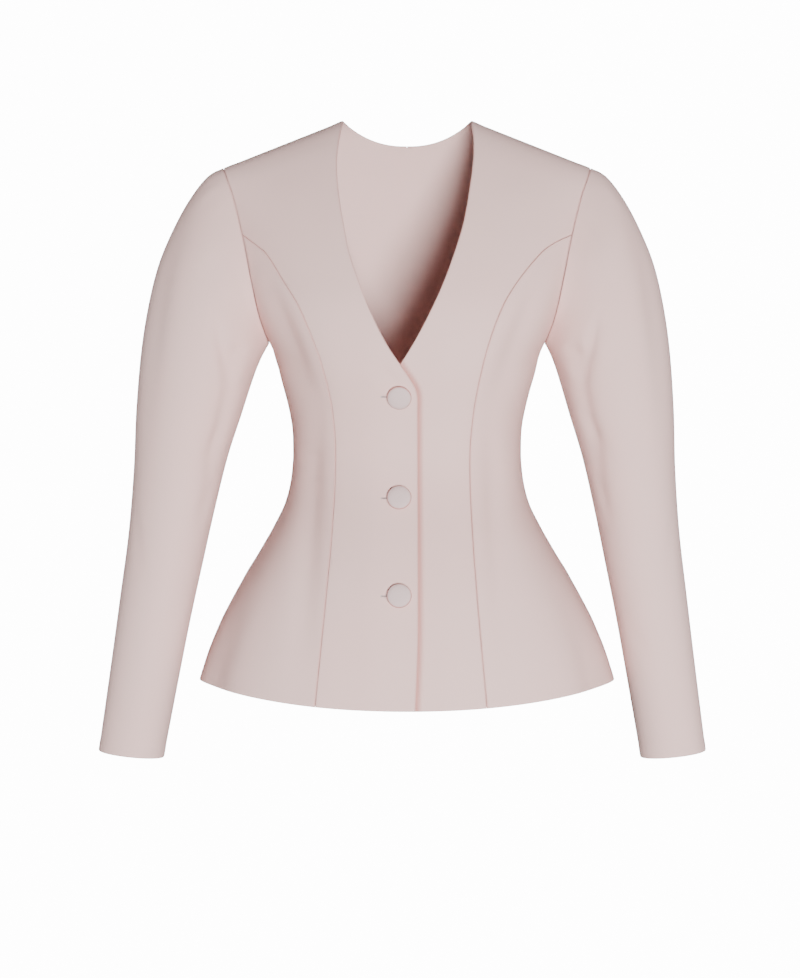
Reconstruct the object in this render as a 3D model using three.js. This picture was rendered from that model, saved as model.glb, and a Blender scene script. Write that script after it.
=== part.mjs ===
import * as THREE from 'three';

// A fitted jacket with a flared hem, in its worn form with no wearer. Millimetres, +Z up.
// The front faces -Y and the wearer's right is -X. The origin is midway between the neck points,
// level with them, where the shoulders of the wearer hold the jacket up.

// Driving sizes
const WALL = 2;
const SEAM_GAP = 0.3;
const LAP_GAP = 0.8;
const LAP_STEP = (WALL + LAP_GAP) / 2;
const NECK_HALF = 66;
const SHOULDER_HALF = 190.3;
const SHOULDER_DROP = 49;
const SHOULDER_SLOPE = SHOULDER_DROP / (SHOULDER_HALF - NECK_HALF);
const RIDGE_HEIGHT = SHOULDER_SLOPE * NECK_HALF;
const UNDERARM_HEIGHT = -230;
const BACK_NECK_DROP = 22;
const NECK_ROUNDNESS = 2.3;
const BUTTON_RADIUS = 12.4;
const BUTTON_SEAT = 0.6;
const BUTTON_LINE = -8;
const BUTTON_HEIGHTS = { button_top: -285.5, button_middle: -388.5, button_low: -485 };
const CLOTH_COLOUR = 0xdcc8c4;
const BUTTON_COLOUR = 0xd2c0bd;

// Level sections of the body from the hem to the foot of the armhole. rise: how much higher the
// section is at its sides; half: half of its width; front and back: its depth before and behind
// the side seams; power: 2 is an ellipse and more is squarer.
const LEVELS = [
  { height: -598, rise: 20, half: 215, front: 150, back: 166, power: 2.15 },
  { height: -560, rise: 14, half: 205, front: 145, back: 160, power: 2.15 },
  { height: -520, rise: 8, half: 190.5, front: 138, back: 150, power: 2.15 },
  { height: -480, rise: 3, half: 172, front: 129, back: 135, power: 2.15 },
  { height: -440, rise: 0, half: 150, front: 116, back: 115, power: 2.15 },
  { height: -400, rise: 0, half: 128.5, front: 101, back: 94, power: 2.15 },
  { height: -372, rise: 0, half: 121, front: 93, back: 83, power: 2.15 },
  { height: -345, rise: 0, half: 118.5, front: 91, back: 78, power: 2.15 },
  { height: -315, rise: 0, half: 119.8, front: 97, back: 80, power: 2.2 },
  { height: -285, rise: 0, half: 126, front: 108, back: 86, power: 2.3 },
  { height: -260, rise: 0, half: 132.5, front: 117, back: 92, power: 2.4 },
  { height: UNDERARM_HEIGHT, rise: 0, half: 143, front: 122, back: 96.5, power: 2.45 },
];

// Sections above it, which tilt with the shoulder. lift: the part of the way that a section has
// climbed from the foot of the armhole (0) to the shoulder seam (1).
const YOKE = [
  { lift: 0.156, half: 157.5, front: 119, back: 100, power: 2.45 },
  { lift: 0.309, half: 171, front: 107, back: 98.5, power: 2.4 },
  { lift: 0.5, half: 184, front: 88, back: 89, power: 2.4 },
  { lift: 0.669, half: 197, front: 68, back: 73, power: 2.4 },
  { lift: 0.809, half: 214, front: 49, back: 53, power: 2.4 },
  { lift: 0.9135, half: 236, front: 32, back: 34, power: 2.4 },
  { lift: 0.978, half: 254, front: 16, back: 17, power: 2.4 },
  { lift: 1, half: 262, front: 0, back: 0, power: 2.4 },
];

// The armhole seen from the front: how far out it lies at each height.
const ARMHOLE = [
  { height: UNDERARM_HEIGHT, reach: 143 },
  { height: -204.6, reach: 151.2 },
  { height: -168, reach: 159 },
  { height: -122, reach: 168.4 },
  { height: -82, reach: 178.5 },
  { height: -62, reach: 185.5 },
  { height: -SHOULDER_DROP, reach: SHOULDER_HALF },
];

// The princess seams: how far out they lie at each height. The fronts close a little to the
// wearer's right of the middle, so the two front seams differ.
const PRINCESS = [
  { height: -592, right: 92, left: 79, back: 88 },
  { height: -500, right: 83, left: 71, back: 78 },
  { height: -420, right: 76, left: 65.6, back: 70 },
  { height: -345, right: 73, left: 63.7, back: 66 },
  { height: -300, right: 76, left: 67.5, back: 72 },
  { height: -255, right: 86, left: 76, back: 83 },
  { height: -223, right: 97.4, left: 85, back: 93 },
  { height: -193, right: 110.5, left: 97, back: 106 },
  { height: -168, right: 126, left: 112.5, back: 121 },
  { height: -140, right: 144, left: 136, back: 141 },
  { height: -130, right: 156, left: 149, back: 153 },
  { height: -120, right: 169, left: 169, back: 169 },
];

// The free edge of each front, from the hem up the lapped edge and the neckline to the neck
// point: how far it lies to its own side of the middle. Below nought it has crossed the middle.
const FREE_EDGE = [
  { height: -598, right: -8.5, left: -25 },
  { height: -527, right: -12, left: -28 },
  { height: -420, right: -13, left: -29 },
  { height: -345, right: -13.6, left: -29 },
  { height: -300, right: -13.4, left: -27.5 },
  { height: -285, right: -12.6, left: -24.5 },
  { height: -275, right: -8, left: -20 },
  { height: -255, right: 6, left: -8 },
  { height: -234, right: 20, left: 5 },
  { height: -204, right: 35.1, left: 21 },
  { height: -173, right: 47.3, left: 35.2 },
  { height: -143, right: 57.6, left: 46.4 },
  { height: -112, right: 64, left: 56 },
  { height: -80, right: 69.3, left: 62.2 },
  { height: -48, right: 71.8, left: 66.8 },
  { height: -24, right: 70, left: 68 },
  { height: 0, right: NECK_HALF, left: NECK_HALF },
];

// Sections of a sleeve from the armhole to the cuff. Each one runs from its outer end to its
// inner end as seen from the front; middle: how far its centre lies towards the back, or towards
// the front below nought; deep: half of its depth.
const SLEEVE = [
  { outX: 190.3, outZ: -49, inX: 143, inZ: UNDERARM_HEIGHT, middle: 0, deep: 50 },
  { outX: 207, outZ: -58, inX: 146, inZ: -235, middle: 0, deep: 55 },
  { outX: 226, outZ: -83, inX: 149, inZ: -241.5, middle: -1, deep: 61 },
  { outX: 243, outZ: -115, inX: 152, inZ: -248.5, middle: -2, deep: 65 },
  { outX: 257, outZ: -150, inX: 155.8, inZ: -258.5, middle: -3, deep: 67 },
  { outX: 267, outZ: -192, inX: 161.5, inZ: -276, middle: -4, deep: 67 },
  { outX: 274, outZ: -240, inX: 170, inZ: -304, middle: -6, deep: 64 },
  { outX: 278.5, outZ: -300, inX: 184, inZ: -349, middle: -8, deep: 58.5 },
  { outX: 280.4, outZ: -360, inX: 197, inZ: -404, middle: -11, deep: 52.5 },
  { outX: 285, outZ: -425, inX: 207.5, inZ: -454, middle: -15, deep: 47 },
  { outX: 292.8, outZ: -490, inX: 219.5, inZ: -512, middle: -20, deep: 42 },
  { outX: 301.4, outZ: -560, inX: 231, inZ: -574, middle: -26, deep: 38 },
  { outX: 313, outZ: -650, inX: 246, inZ: -657.5, middle: -33, deep: 34 },
];
const CUFF = SLEEVE.length - 1;
// The wearer's right sleeve hangs a little further out at the cuff than the left one.
const SLEEVE_SWING = { right: 5, left: -5 };

// Soft folds of the flare. Each runs up from the hem and dies out at its top; turn: its place
// round the body in degrees; depth: how far it stands out, or sinks in below nought.
const FLARE_FOLDS = [
  { turn: 29, top: -430, depth: -4, spread: 8 },
  { turn: 13, top: -470, depth: 2.5, spread: 7 },
  { turn: 155, top: -440, depth: -4, spread: 8 },
  { turn: 168, top: -470, depth: 2.5, spread: 7 },
  { turn: 206, top: -450, depth: -3.5, spread: 8 },
  { turn: 243, top: -470, depth: -3, spread: 10 },
  { turn: 298, top: -460, depth: -3, spread: 10 },
  { turn: 333, top: -440, depth: -3.5, spread: 8 },
];

// Soft folds of the sleeves, from one place to another: at and to are section numbers, turn and
// toTurn are degrees round the sleeve from its outer edge towards its front.
const SLEEVE_FOLDS = [
  { at: 1.6, to: 8, turn: 30, toTurn: 52, depth: -3.5, spread: 17 },
  { at: 3.2, to: 5.6, turn: 100, toTurn: 132, depth: -3, spread: 9 },
  { at: 2.6, to: 7, turn: 325, toTurn: 300, depth: -3, spread: 18 },
  { at: 3.4, to: 5.8, turn: 248, toTurn: 226, depth: -2.5, spread: 10 },
];

const FLARE_BOTTOM = -590;
const RADIANS = Math.PI / 180;
const SMALL_STEP = 1e-3;
const clamp = THREE.MathUtils.clamp;
const lerp = THREE.MathUtils.lerp;
const smoothstep = THREE.MathUtils.smoothstep;

// The smooth value of one column of a table, at a place along its key column.
function smoothValue(table, key, column, at) {
  const last = table.length - 1;
  let row = 0;
  while (row < last - 1 && at > table[row + 1][key]) row += 1;
  const slopeAt = (index) => {
    const before = table[Math.max(index - 1, 0)];
    const after = table[Math.min(index + 1, last)];
    return (after[column] - before[column]) / (after[key] - before[key]);
  };
  const span = table[row + 1][key] - table[row][key];
  const t = clamp((at - table[row][key]) / span, 0, 1);
  const start = table[row][column];
  const end = table[row + 1][column];
  const bend = span * t * (1 - t) * ((1 - t) * slopeAt(row) - t * slopeAt(row + 1));
  return lerp(start, end, t * t * (3 - 2 * t)) + bend;
}

// All sections of the body in one table. along is the length of cloth up the front; the row past
// the shoulder seam goes on down the far side, so that the surface is level across the seam.
function makeStations() {
  const yoke = YOKE.map(({ lift, ...section }) => ({
    ...section,
    height: lerp(UNDERARM_HEIGHT, RIDGE_HEIGHT, lift),
    slope: lift * SHOULDER_SLOPE,
    rise: 0,
  }));
  const rows = [...LEVELS.map((section) => ({ ...section, slope: 0 })), ...yoke];
  const beforeRidge = rows[rows.length - 2];
  rows.push({ ...beforeRidge, front: -beforeRidge.front, back: -beforeRidge.back });
  rows[0].along = 0;
  for (let i = 1; i < rows.length; i += 1) {
    const up = rows[i].height - rows[i - 1].height;
    const out = rows[i].front - rows[i - 1].front;
    rows[i].along = rows[i - 1].along + Math.hypot(up, out);
  }
  return rows;
}

const STATIONS = makeStations();
const UNDERARM = STATIONS[LEVELS.length - 1].along;
const RIDGE = STATIONS[STATIONS.length - 2].along;

function sectionAt(station) {
  const section = {};
  for (const column of ['height', 'rise', 'slope', 'half', 'front', 'back', 'power']) {
    section[column] = smoothValue(STATIONS, 'along', column, station);
  }
  return section;
}

// A section falls in a straight line from the neck point outwards and is rounded inside it.
function fallAt(x) {
  const out = Math.abs(x);
  return out >= NECK_HALF ? out : (out * out / NECK_HALF + NECK_HALF) / 2;
}

function heightOn(section, x) {
  const part = Math.min(Math.abs(x) / section.half, 1);
  return section.height - section.slope * fallAt(x) + section.rise * part ** section.power;
}

// The place between low and high at which a test turns from true to false.
const HALVINGS = 50;

function bisect(low, high, isBelow) {
  let from = low;
  let to = high;
  for (let i = 0; i < HALVINGS; i += 1) {
    const middle = (from + to) / 2;
    if (isBelow(middle)) from = middle;
    else to = middle;
  }
  return (from + to) / 2;
}

// The station whose section passes through a place seen from the front.
function stationThrough(x, height) {
  return bisect(0, RIDGE, (station) => heightOn(sectionAt(station), x) < height);
}

// The turn round the body, in radians from the left side seam by way of the front, at which a
// section lies x to the side of the middle.
function turnAcross(station, x, onBack) {
  const section = sectionAt(station);
  const base = Math.acos(clamp(Math.abs(x) / section.half, 0, 1) ** (section.power / 2));
  const frontTurn = x >= 0 ? base : Math.PI - base;
  return onBack ? 2 * Math.PI - frontTurn : frontTurn;
}

// The turn at which a section meets a line that gives x for each height. Each guess moves most of
// the way to the next one, so that the guesses settle.
const LINE_GUESSES = 40;
const GUESS_SHARE = 0.7;

function turnOfLine(station, lineX, onBack) {
  const section = sectionAt(station);
  let x = lineX(section.height);
  for (let i = 0; i < LINE_GUESSES; i += 1) x = lerp(x, lineX(heightOn(section, x)), GUESS_SHARE);
  return turnAcross(station, x, onBack);
}

const bell = (distance) => Math.exp(-distance * distance);

function turnBetween(a, b) {
  return THREE.MathUtils.euclideanModulo(a - b + 180, 360) - 180;
}

function flareFold(turn, height) {
  let sum = 0;
  for (const fold of FLARE_FOLDS) {
    const fade = 1 - smoothstep(height, FLARE_BOTTOM, fold.top);
    sum += fold.depth * fade * bell(turnBetween(turn / RADIANS, fold.turn) / fold.spread);
  }
  return sum;
}

// A point of the body's outer face with no folds.
function plainPoint(turn, station) {
  const section = sectionAt(station);
  const across = Math.cos(turn);
  const forward = Math.sin(turn);
  const depth = forward >= 0 ? section.front : section.back;
  const x = section.half * Math.sign(across) * Math.abs(across) ** (2 / section.power);
  const y = -depth * Math.sign(forward) * Math.abs(forward) ** (2 / section.power);
  return new THREE.Vector3(x, y, heightOn(section, x));
}

function normalOf(pointAt, u, v) {
  const alongU = pointAt(u + SMALL_STEP, v).sub(pointAt(u - SMALL_STEP, v));
  const alongV = pointAt(u, v + SMALL_STEP).sub(pointAt(u, v - SMALL_STEP));
  return alongV.cross(alongU).normalize();
}

// A point of the body and the way out of the cloth there. lift moves a layer out or in.
function bodySpot(turn, station, lift = () => 0) {
  const plain = plainPoint(turn, station);
  const out = normalOf(plainPoint, turn, station);
  const step = flareFold(turn, plain.z) + lift(plain.x, plain.z);
  return { outer: plain.addScaledVector(out, step), out };
}

function innerPoint({ outer, out }) {
  return outer.clone().addScaledVector(out, -WALL);
}

// Moves a turn along its section by a distance in millimetres.
function moveTurn(turn, station, distance) {
  const span = plainPoint(turn + SMALL_STEP, station).distanceTo(plainPoint(turn - SMALL_STEP, station));
  return turn + (distance * 2 * SMALL_STEP) / span;
}

// The turn of a seam moved sideways by a distance measured square to the seam.
const SEAM_STEP = 0.5;
const STEEPEST_SEAM = 4;

function besideSeam(seamTurn, station, distance) {
  const low = Math.max(station - SEAM_STEP, 0);
  const high = Math.min(station + SEAM_STEP, RIDGE);
  const turn = seamTurn(station);
  const middle = (low + high) / 2;
  const sideways = plainPoint(seamTurn(high), middle).distanceTo(plainPoint(seamTurn(low), middle));
  const stretch = Math.hypot(1, sideways / (high - low));
  return moveTurn(turn, station, distance * Math.min(stretch, STEEPEST_SEAM));
}

// A closed wall between two grids of points. A tube joins its last column to its first.
function wallGeometry(outer, inner, isTube) {
  const rows = outer.length;
  const columns = outer[0].length;
  const positions = [...outer.flat(), ...inner.flat()].flatMap((point) => point.toArray());
  const triangles = [];
  const index = (layer, row, column) => (layer * rows + row) * columns + (column % columns);
  const quad = (a, b, c, d) => triangles.push(a, b, c, a, c, d);
  const cells = isTube ? columns : columns - 1;
  for (let r = 0; r < rows - 1; r += 1) {
    for (let c = 0; c < cells; c += 1) {
      quad(index(0, r, c), index(0, r + 1, c), index(0, r + 1, c + 1), index(0, r, c + 1));
      quad(index(1, r, c), index(1, r, c + 1), index(1, r + 1, c + 1), index(1, r + 1, c));
    }
  }
  for (let c = 0; c < cells; c += 1) {
    quad(index(0, 0, c), index(0, 0, c + 1), index(1, 0, c + 1), index(1, 0, c));
    quad(index(0, rows - 1, c), index(1, rows - 1, c), index(1, rows - 1, c + 1), index(0, rows - 1, c + 1));
  }
  if (!isTube) {
    for (let r = 0; r < rows - 1; r += 1) {
      quad(index(0, r, 0), index(1, r, 0), index(1, r + 1, 0), index(0, r + 1, 0));
      quad(index(0, r, cells), index(0, r + 1, cells), index(1, r + 1, cells), index(1, r, cells));
    }
  }
  const geometry = new THREE.BufferGeometry();
  geometry.setAttribute('position', new THREE.Float32BufferAttribute(positions, 3));
  geometry.setIndex(triangles);
  geometry.computeVertexNormals();
  return geometry;
}

// Rows that all panels share, so that facets on the two sides of a seam run side by side. The
// upper rows meet the armhole at even turns of the sleeve.
const LOWER_HEIGHTS = [
  -598, -572, -546, -520, -494, -468, -442, -417, -393, -370, -347, -324, -303, -288, -276, -264, -253, -242,
];
const HALF_SLEEVE_STEPS = 14;
const ARMHOLE_MIDDLE = (UNDERARM_HEIGHT - SHOULDER_DROP) / 2;
const ARMHOLE_HALF = (-SHOULDER_DROP - UNDERARM_HEIGHT) / 2;
const PRINCESS_STEP = 6;

const armholeReach = (height) => smoothValue(ARMHOLE, 'height', 'reach', height);

// The station at which the armhole has a given turn of the sleeve: 0 is the shoulder point, half
// a turn is the underarm.
function armholeStation(sleeveTurn) {
  const height = ARMHOLE_MIDDLE + ARMHOLE_HALF * Math.cos(sleeveTurn);
  return stationThrough(armholeReach(height), height);
}

const LOWER_ROWS = LOWER_HEIGHTS.map((height) => stationThrough(0, height));
const UPPER_ROWS = Array.from({ length: HALF_SLEEVE_STEPS + 1 }, (_, i) =>
  armholeStation((Math.PI * (HALF_SLEEVE_STEPS - i)) / HALF_SLEEVE_STEPS));
const PRINCESS_ROW = UPPER_ROWS[HALF_SLEEVE_STEPS - PRINCESS_STEP];
const ROWS = [...LOWER_ROWS, ...UPPER_ROWS];
const SIDE_ROWS = ROWS.filter((station) => station < PRINCESS_ROW - SMALL_STEP);

const SIDE = {
  right: { sign: -1, seamTurn: Math.PI },
  left: { sign: 1, seamTurn: 0 },
};

// Where the armhole, or the side seam below it, meets a section.
function armholeTurn(side, station, onBack) {
  const { sign, seamTurn } = SIDE[side];
  if (station <= UNDERARM + SMALL_STEP) return onBack && side === 'left' ? 2 * Math.PI : seamTurn;
  return turnOfLine(station, (height) => sign * armholeReach(height), onBack);
}

function princessTurn(side, station, onBack) {
  const column = onBack ? 'back' : side;
  const line = (height) => SIDE[side].sign * smoothValue(PRINCESS, 'height', column, height);
  return turnOfLine(station, line, onBack);
}

function outerEdgeTurn(side, station, onBack) {
  if (station >= PRINCESS_ROW - SMALL_STEP) return armholeTurn(side, station, onBack);
  return princessTurn(side, station, onBack);
}

function freeEdgeTurn(side, station) {
  return turnOfLine(station, (height) => SIDE[side].sign * smoothValue(FREE_EDGE, 'height', side, height), false);
}

// The lapped part stands out on the right front and sinks in on the left front. It starts below
// the neckline and eases out at its sides.
const LAP_FADE = { full: -240, none: -190 };
const RIGHT_LAP = { none: -60, full: -32 };
const LEFT_LAP = { full: 16, none: 44 };

function lapHeightFade(height) {
  return 1 - smoothstep(height, LAP_FADE.full, LAP_FADE.none);
}

function rightLift(x, height) {
  return LAP_STEP * lapHeightFade(height) * smoothstep(x, RIGHT_LAP.none, RIGHT_LAP.full);
}

function leftLift(x, height) {
  return -LAP_STEP * lapHeightFade(height) * (1 - smoothstep(x, LEFT_LAP.full, LEFT_LAP.none));
}

// The top row of the side panels: just short of the point where princess seam and armhole meet.
const TIP_PART = 0.93;
const TIP_INSET = 0.35;
const TIP_DROP = 0.6;

// One cut panel. Each row runs from one edge turn to the other, by even columns or by the given
// ones, and stationOf may bend the rows.
function panelGeometry({ rows, columns, from, to, lift, tip, stationOf = (station) => station }) {
  const outer = [];
  const inner = [];
  for (const station of rows) {
    const start = besideSeam(from, station, SEAM_GAP / 2);
    const end = besideSeam(to, station, -SEAM_GAP / 2);
    const atShoulder = station > RIDGE - SMALL_STEP;
    const spots = columns.map((part) => {
      const place = stationOf(atShoulder ? station - SEAM_GAP / 2 : station, part);
      return bodySpot(lerp(start, end, part), place, lift);
    });
    outer.push(spots.map((spot) => spot.outer));
    inner.push(spots.map(innerPoint));
  }
  if (tip) {
    const corner = bodySpot(moveTurn(tip.turn, PRINCESS_ROW, tip.inset), PRINCESS_ROW - TIP_DROP);
    const last = outer.length - 1;
    outer.push(outer[last].map((point) => point.clone().lerp(corner.outer, TIP_PART)));
    inner.push(inner[last].map((point) => point.clone().lerp(innerPoint(corner), TIP_PART)));
  }
  return wallGeometry(outer, inner, false);
}

function evenParts(count) {
  return Array.from({ length: count + 1 }, (_, i) => i / count);
}

function frontGeometry(side) {
  const outerEdge = (station) => outerEdgeTurn(side, station, false);
  const freeEdge = (station) => freeEdgeTurn(side, station);
  const isRight = side === 'right';
  return panelGeometry({
    rows: ROWS,
    columns: evenParts(7),
    from: isRight ? freeEdge : outerEdge,
    to: isRight ? outerEdge : freeEdge,
    lift: isRight ? rightLift : leftLift,
  });
}

// A side panel lies between a princess seam and the side seam or armhole, before or behind it.
function sideGeometry(side, onBack) {
  const princess = (station) => princessTurn(side, station, onBack);
  const armhole = (station) => armholeTurn(side, station, onBack);
  const princessFirst = (side === 'right') !== onBack;
  return panelGeometry({
    rows: SIDE_ROWS,
    columns: evenParts(5),
    from: princessFirst ? princess : armhole,
    to: princessFirst ? armhole : princess,
    tip: { turn: armhole(PRINCESS_ROW), inset: princessFirst ? -TIP_INSET : TIP_INSET },
  });
}

// A back panel reaches from the armhole and princess seam to the centre back. One of its columns
// ends at the neck point, and the rows inside it sink to the neckline.
const CENTRE_BACK = 1.5 * Math.PI;
const OUTER_BACK_COLUMNS = 4;
const NECK_COLUMNS = 4;

function backGeometry(side) {
  const outerEdge = (station) => outerEdgeTurn(side, station, true);
  const centre = () => CENTRE_BACK;
  const shoulderTurn = outerEdge(RIDGE);
  const neckTurn = turnAcross(RIDGE, SIDE[side].sign * NECK_HALF, true);
  const neckPart = (neckTurn - shoulderTurn) / (CENTRE_BACK - shoulderTurn);
  const parts = [
    ...evenParts(OUTER_BACK_COLUMNS).map((part) => part * neckPart),
    ...evenParts(NECK_COLUMNS).slice(1).map((part) => lerp(neckPart, 1, part)),
  ];
  const neckStation = (part) => {
    if (part <= neckPart) return RIDGE;
    const turn = lerp(shoulderTurn, CENTRE_BACK, part);
    return bisect(UNDERARM, RIDGE, (station) => {
      const { x, z } = plainPoint(turn, station);
      return z < -BACK_NECK_DROP * (1 - (Math.abs(x) / NECK_HALF) ** NECK_ROUNDNESS);
    });
  };
  const sinks = parts.map((part) => (neckStation(part) - UNDERARM) / (RIDGE - UNDERARM));
  const isRight = side === 'right';
  const sinkAt = (part) => {
    const own = isRight ? part : 1 - part;
    return sinks[parts.findIndex((known) => Math.abs(known - own) < SMALL_STEP)];
  };
  const stationOf = (station, part) => {
    if (station <= UNDERARM) return station;
    return UNDERARM + (station - UNDERARM) * sinkAt(part);
  };
  return panelGeometry({
    rows: ROWS,
    columns: isRight ? parts : parts.map((part) => 1 - part).reverse(),
    from: isRight ? outerEdge : centre,
    to: isRight ? centre : outerEdge,
    stationOf,
  });
}

// A point of a sleeve section with no folds, before it is fitted to the armhole.
function sleeveSectionPoint(side, turn, at) {
  const value = (column) => smoothValue(SLEEVE_ROWS, 'at', column, at);
  const out = Math.cos(turn);
  const swing = (SLEEVE_SWING[side] * (value('outZ') + SHOULDER_DROP)) / (SLEEVE[CUFF].outZ + SHOULDER_DROP);
  const x = lerp(value('inX'), value('outX'), (1 + out) / 2) + swing;
  const z = lerp(value('inZ'), value('outZ'), (1 + out) / 2);
  return new THREE.Vector3(SIDE[side].sign * x, value('middle') - value('deep') * Math.sin(turn), z);
}

const SLEEVE_ROWS = SLEEVE.map((section, at) => ({ ...section, at }));

// The armhole's edge of the body panels at a turn of the sleeve, with the way out of the cloth.
function armholeSpot(side, turn) {
  const onBack = turn > Math.PI;
  const station = armholeStation(onBack ? 2 * Math.PI - turn : turn);
  return bodySpot(armholeTurn(side, station, onBack), station);
}

// The sections over which a sleeve turns from the armhole's own shape to its table's.
const FIT_LENGTH = 2.5;

function sleevePlain(side, turn, at) {
  const point = sleeveSectionPoint(side, turn, at);
  if (at >= FIT_LENGTH) return point;
  const whole = THREE.MathUtils.euclideanModulo(turn, 2 * Math.PI);
  const fit = armholeSpot(side, whole).outer.sub(sleeveSectionPoint(side, whole, 0));
  return point.addScaledVector(fit, 1 - smoothstep(at, 0, FIT_LENGTH));
}

const FOLD_END_POWER = 1.5;

function sleeveFold(turn, at) {
  let sum = 0;
  for (const fold of SLEEVE_FOLDS) {
    const part = (at - fold.at) / (fold.to - fold.at);
    if (part <= 0 || part >= 1) continue;
    const fade = Math.sin(Math.PI * part) ** FOLD_END_POWER;
    const centre = lerp(fold.turn, fold.toTurn, part);
    sum += fold.depth * fade * bell(turnBetween(turn / RADIANS, centre) / fold.spread);
  }
  return sum;
}

// The section numbers of a sleeve's rings.
const SLEEVE_RINGS = [0, 0.35, 0.8, 1.3, 1.9, 2.5, 3.2, 3.9, 4.6, 5.4, 6.3, 7.2, 8.2, 9.2, 10.2, 11.1, CUFF];

// A sleeve is a tube. Its columns start at the armhole's rows, and its first ring lies one seam
// gap outside the panels.
function sleeveGeometry(side) {
  const sign = SIDE[side].sign;
  const turns = Array.from({ length: 2 * HALF_SLEEVE_STEPS }, (_, i) => (Math.PI * i) / HALF_SLEEVE_STEPS);
  const normalAt = (turn, at) => {
    const pointAt = (u, v) => sleevePlain(side, u, Math.max(v, 0));
    return normalOf(pointAt, turn, Math.max(at, SMALL_STEP)).multiplyScalar(-sign);
  };
  const outer = [];
  const inner = [];
  const ring = turns.map((turn) => armholeSpot(side, turn));
  SLEEVE_RINGS.forEach((at, row) => {
    const spots = turns.map((turn, i) => {
      const out = normalAt(turn, at);
      if (row > 0) {
        const point = sleevePlain(side, turn, at).addScaledVector(out, sleeveFold(turn, at));
        return { outer: point, out };
      }
      const spot = ring[i];
      const next = ring[(i + 1) % ring.length].outer;
      const previous = ring[(i + ring.length - 1) % ring.length].outer;
      const away = spot.out.clone().cross(next.clone().sub(previous)).normalize().multiplyScalar(sign);
      const foldBack = Math.max(-out.dot(away), 0);
      const gapWay = away.clone().addScaledVector(spot.out, foldBack).normalize();
      const isFoldedBack = out.dot(away) < 0;
      return { outer: spot.outer.clone().addScaledVector(gapWay, SEAM_GAP), out: isFoldedBack ? out : spot.out };
    });
    outer.push(spots.map((spot) => spot.outer));
    inner.push(spots.map(innerPoint));
  });
  return side === 'right' ? wallGeometry(outer, inner, true) : wallGeometry(inner, outer, true);
}

// A covered button: a dome with a rounded rim, a flat back and a short neck behind it. across:
// out from its middle as a share of its radius; up: forward from its seat.
const BUTTON_PROFILE = [
  { across: 0, up: 0 },
  { across: 0.24, up: 0 },
  { across: 0.24, up: 1 },
  { across: 0.89, up: 1.2 },
  { across: 1, up: 3 },
  { across: 0.95, up: 4.3 },
  { across: 0.8, up: 5.5 },
  { across: 0.42, up: 6.6 },
  { across: 0, up: 7 },
];
const BUTTON_SIDES = 20;

function buttonGeometry() {
  const points = BUTTON_PROFILE.map(({ across, up }) => new THREE.Vector2(across * BUTTON_RADIUS, up));
  return new THREE.LatheGeometry(points, BUTTON_SIDES);
}

function clothMesh(name, geometry) {
  const material = new THREE.MeshStandardMaterial({ color: CLOTH_COLOUR, roughness: 0.85, metalness: 0 });
  const mesh = new THREE.Mesh(geometry, material);
  mesh.name = name;
  return mesh;
}

function buttonMesh(name, height) {
  const station = stationThrough(BUTTON_LINE, height);
  const { outer, out } = bodySpot(turnAcross(station, BUTTON_LINE, false), station, rightLift);
  const material = new THREE.MeshStandardMaterial({ color: BUTTON_COLOUR, roughness: 0.8, metalness: 0 });
  const mesh = new THREE.Mesh(buttonGeometry(), material);
  mesh.name = name;
  mesh.position.copy(outer).addScaledVector(out, BUTTON_SEAT);
  mesh.quaternion.setFromUnitVectors(new THREE.Vector3(0, 1, 0), out);
  return mesh;
}

const jacket = new THREE.Group();
for (const side of ['right', 'left']) {
  jacket.add(clothMesh(`front_${side}`, frontGeometry(side)));
  jacket.add(clothMesh(`side_front_${side}`, sideGeometry(side, false)));
  jacket.add(clothMesh(`side_back_${side}`, sideGeometry(side, true)));
  jacket.add(clothMesh(`back_${side}`, backGeometry(side)));
  jacket.add(clothMesh(`sleeve_${side}`, sleeveGeometry(side)));
}
for (const [name, height] of Object.entries(BUTTON_HEIGHTS)) jacket.add(buttonMesh(name, height));

export default jacket;
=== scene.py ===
"""A fitted jacket in pale blush crepe, filled out as when it is worn: the looks of each cut piece."""

import logging
import math
from dataclasses import dataclass
from enum import Enum
from typing import Any, Callable, Sequence

import bmesh
import bpy
import numpy as np
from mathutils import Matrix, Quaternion, Vector

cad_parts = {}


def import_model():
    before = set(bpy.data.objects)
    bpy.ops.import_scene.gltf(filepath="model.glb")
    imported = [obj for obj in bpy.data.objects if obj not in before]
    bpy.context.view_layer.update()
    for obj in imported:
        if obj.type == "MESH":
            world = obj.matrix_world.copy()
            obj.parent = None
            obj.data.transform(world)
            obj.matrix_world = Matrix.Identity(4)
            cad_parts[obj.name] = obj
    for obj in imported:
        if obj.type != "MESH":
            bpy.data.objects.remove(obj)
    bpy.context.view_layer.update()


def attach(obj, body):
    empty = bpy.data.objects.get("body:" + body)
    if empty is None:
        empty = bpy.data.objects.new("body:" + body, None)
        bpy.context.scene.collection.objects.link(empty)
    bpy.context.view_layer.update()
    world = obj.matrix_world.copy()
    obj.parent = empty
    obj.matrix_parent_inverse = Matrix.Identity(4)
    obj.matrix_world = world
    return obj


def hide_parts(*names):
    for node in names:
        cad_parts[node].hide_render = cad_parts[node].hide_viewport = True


LOG = logging.getLogger("jacket")
MM = 0.001

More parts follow.
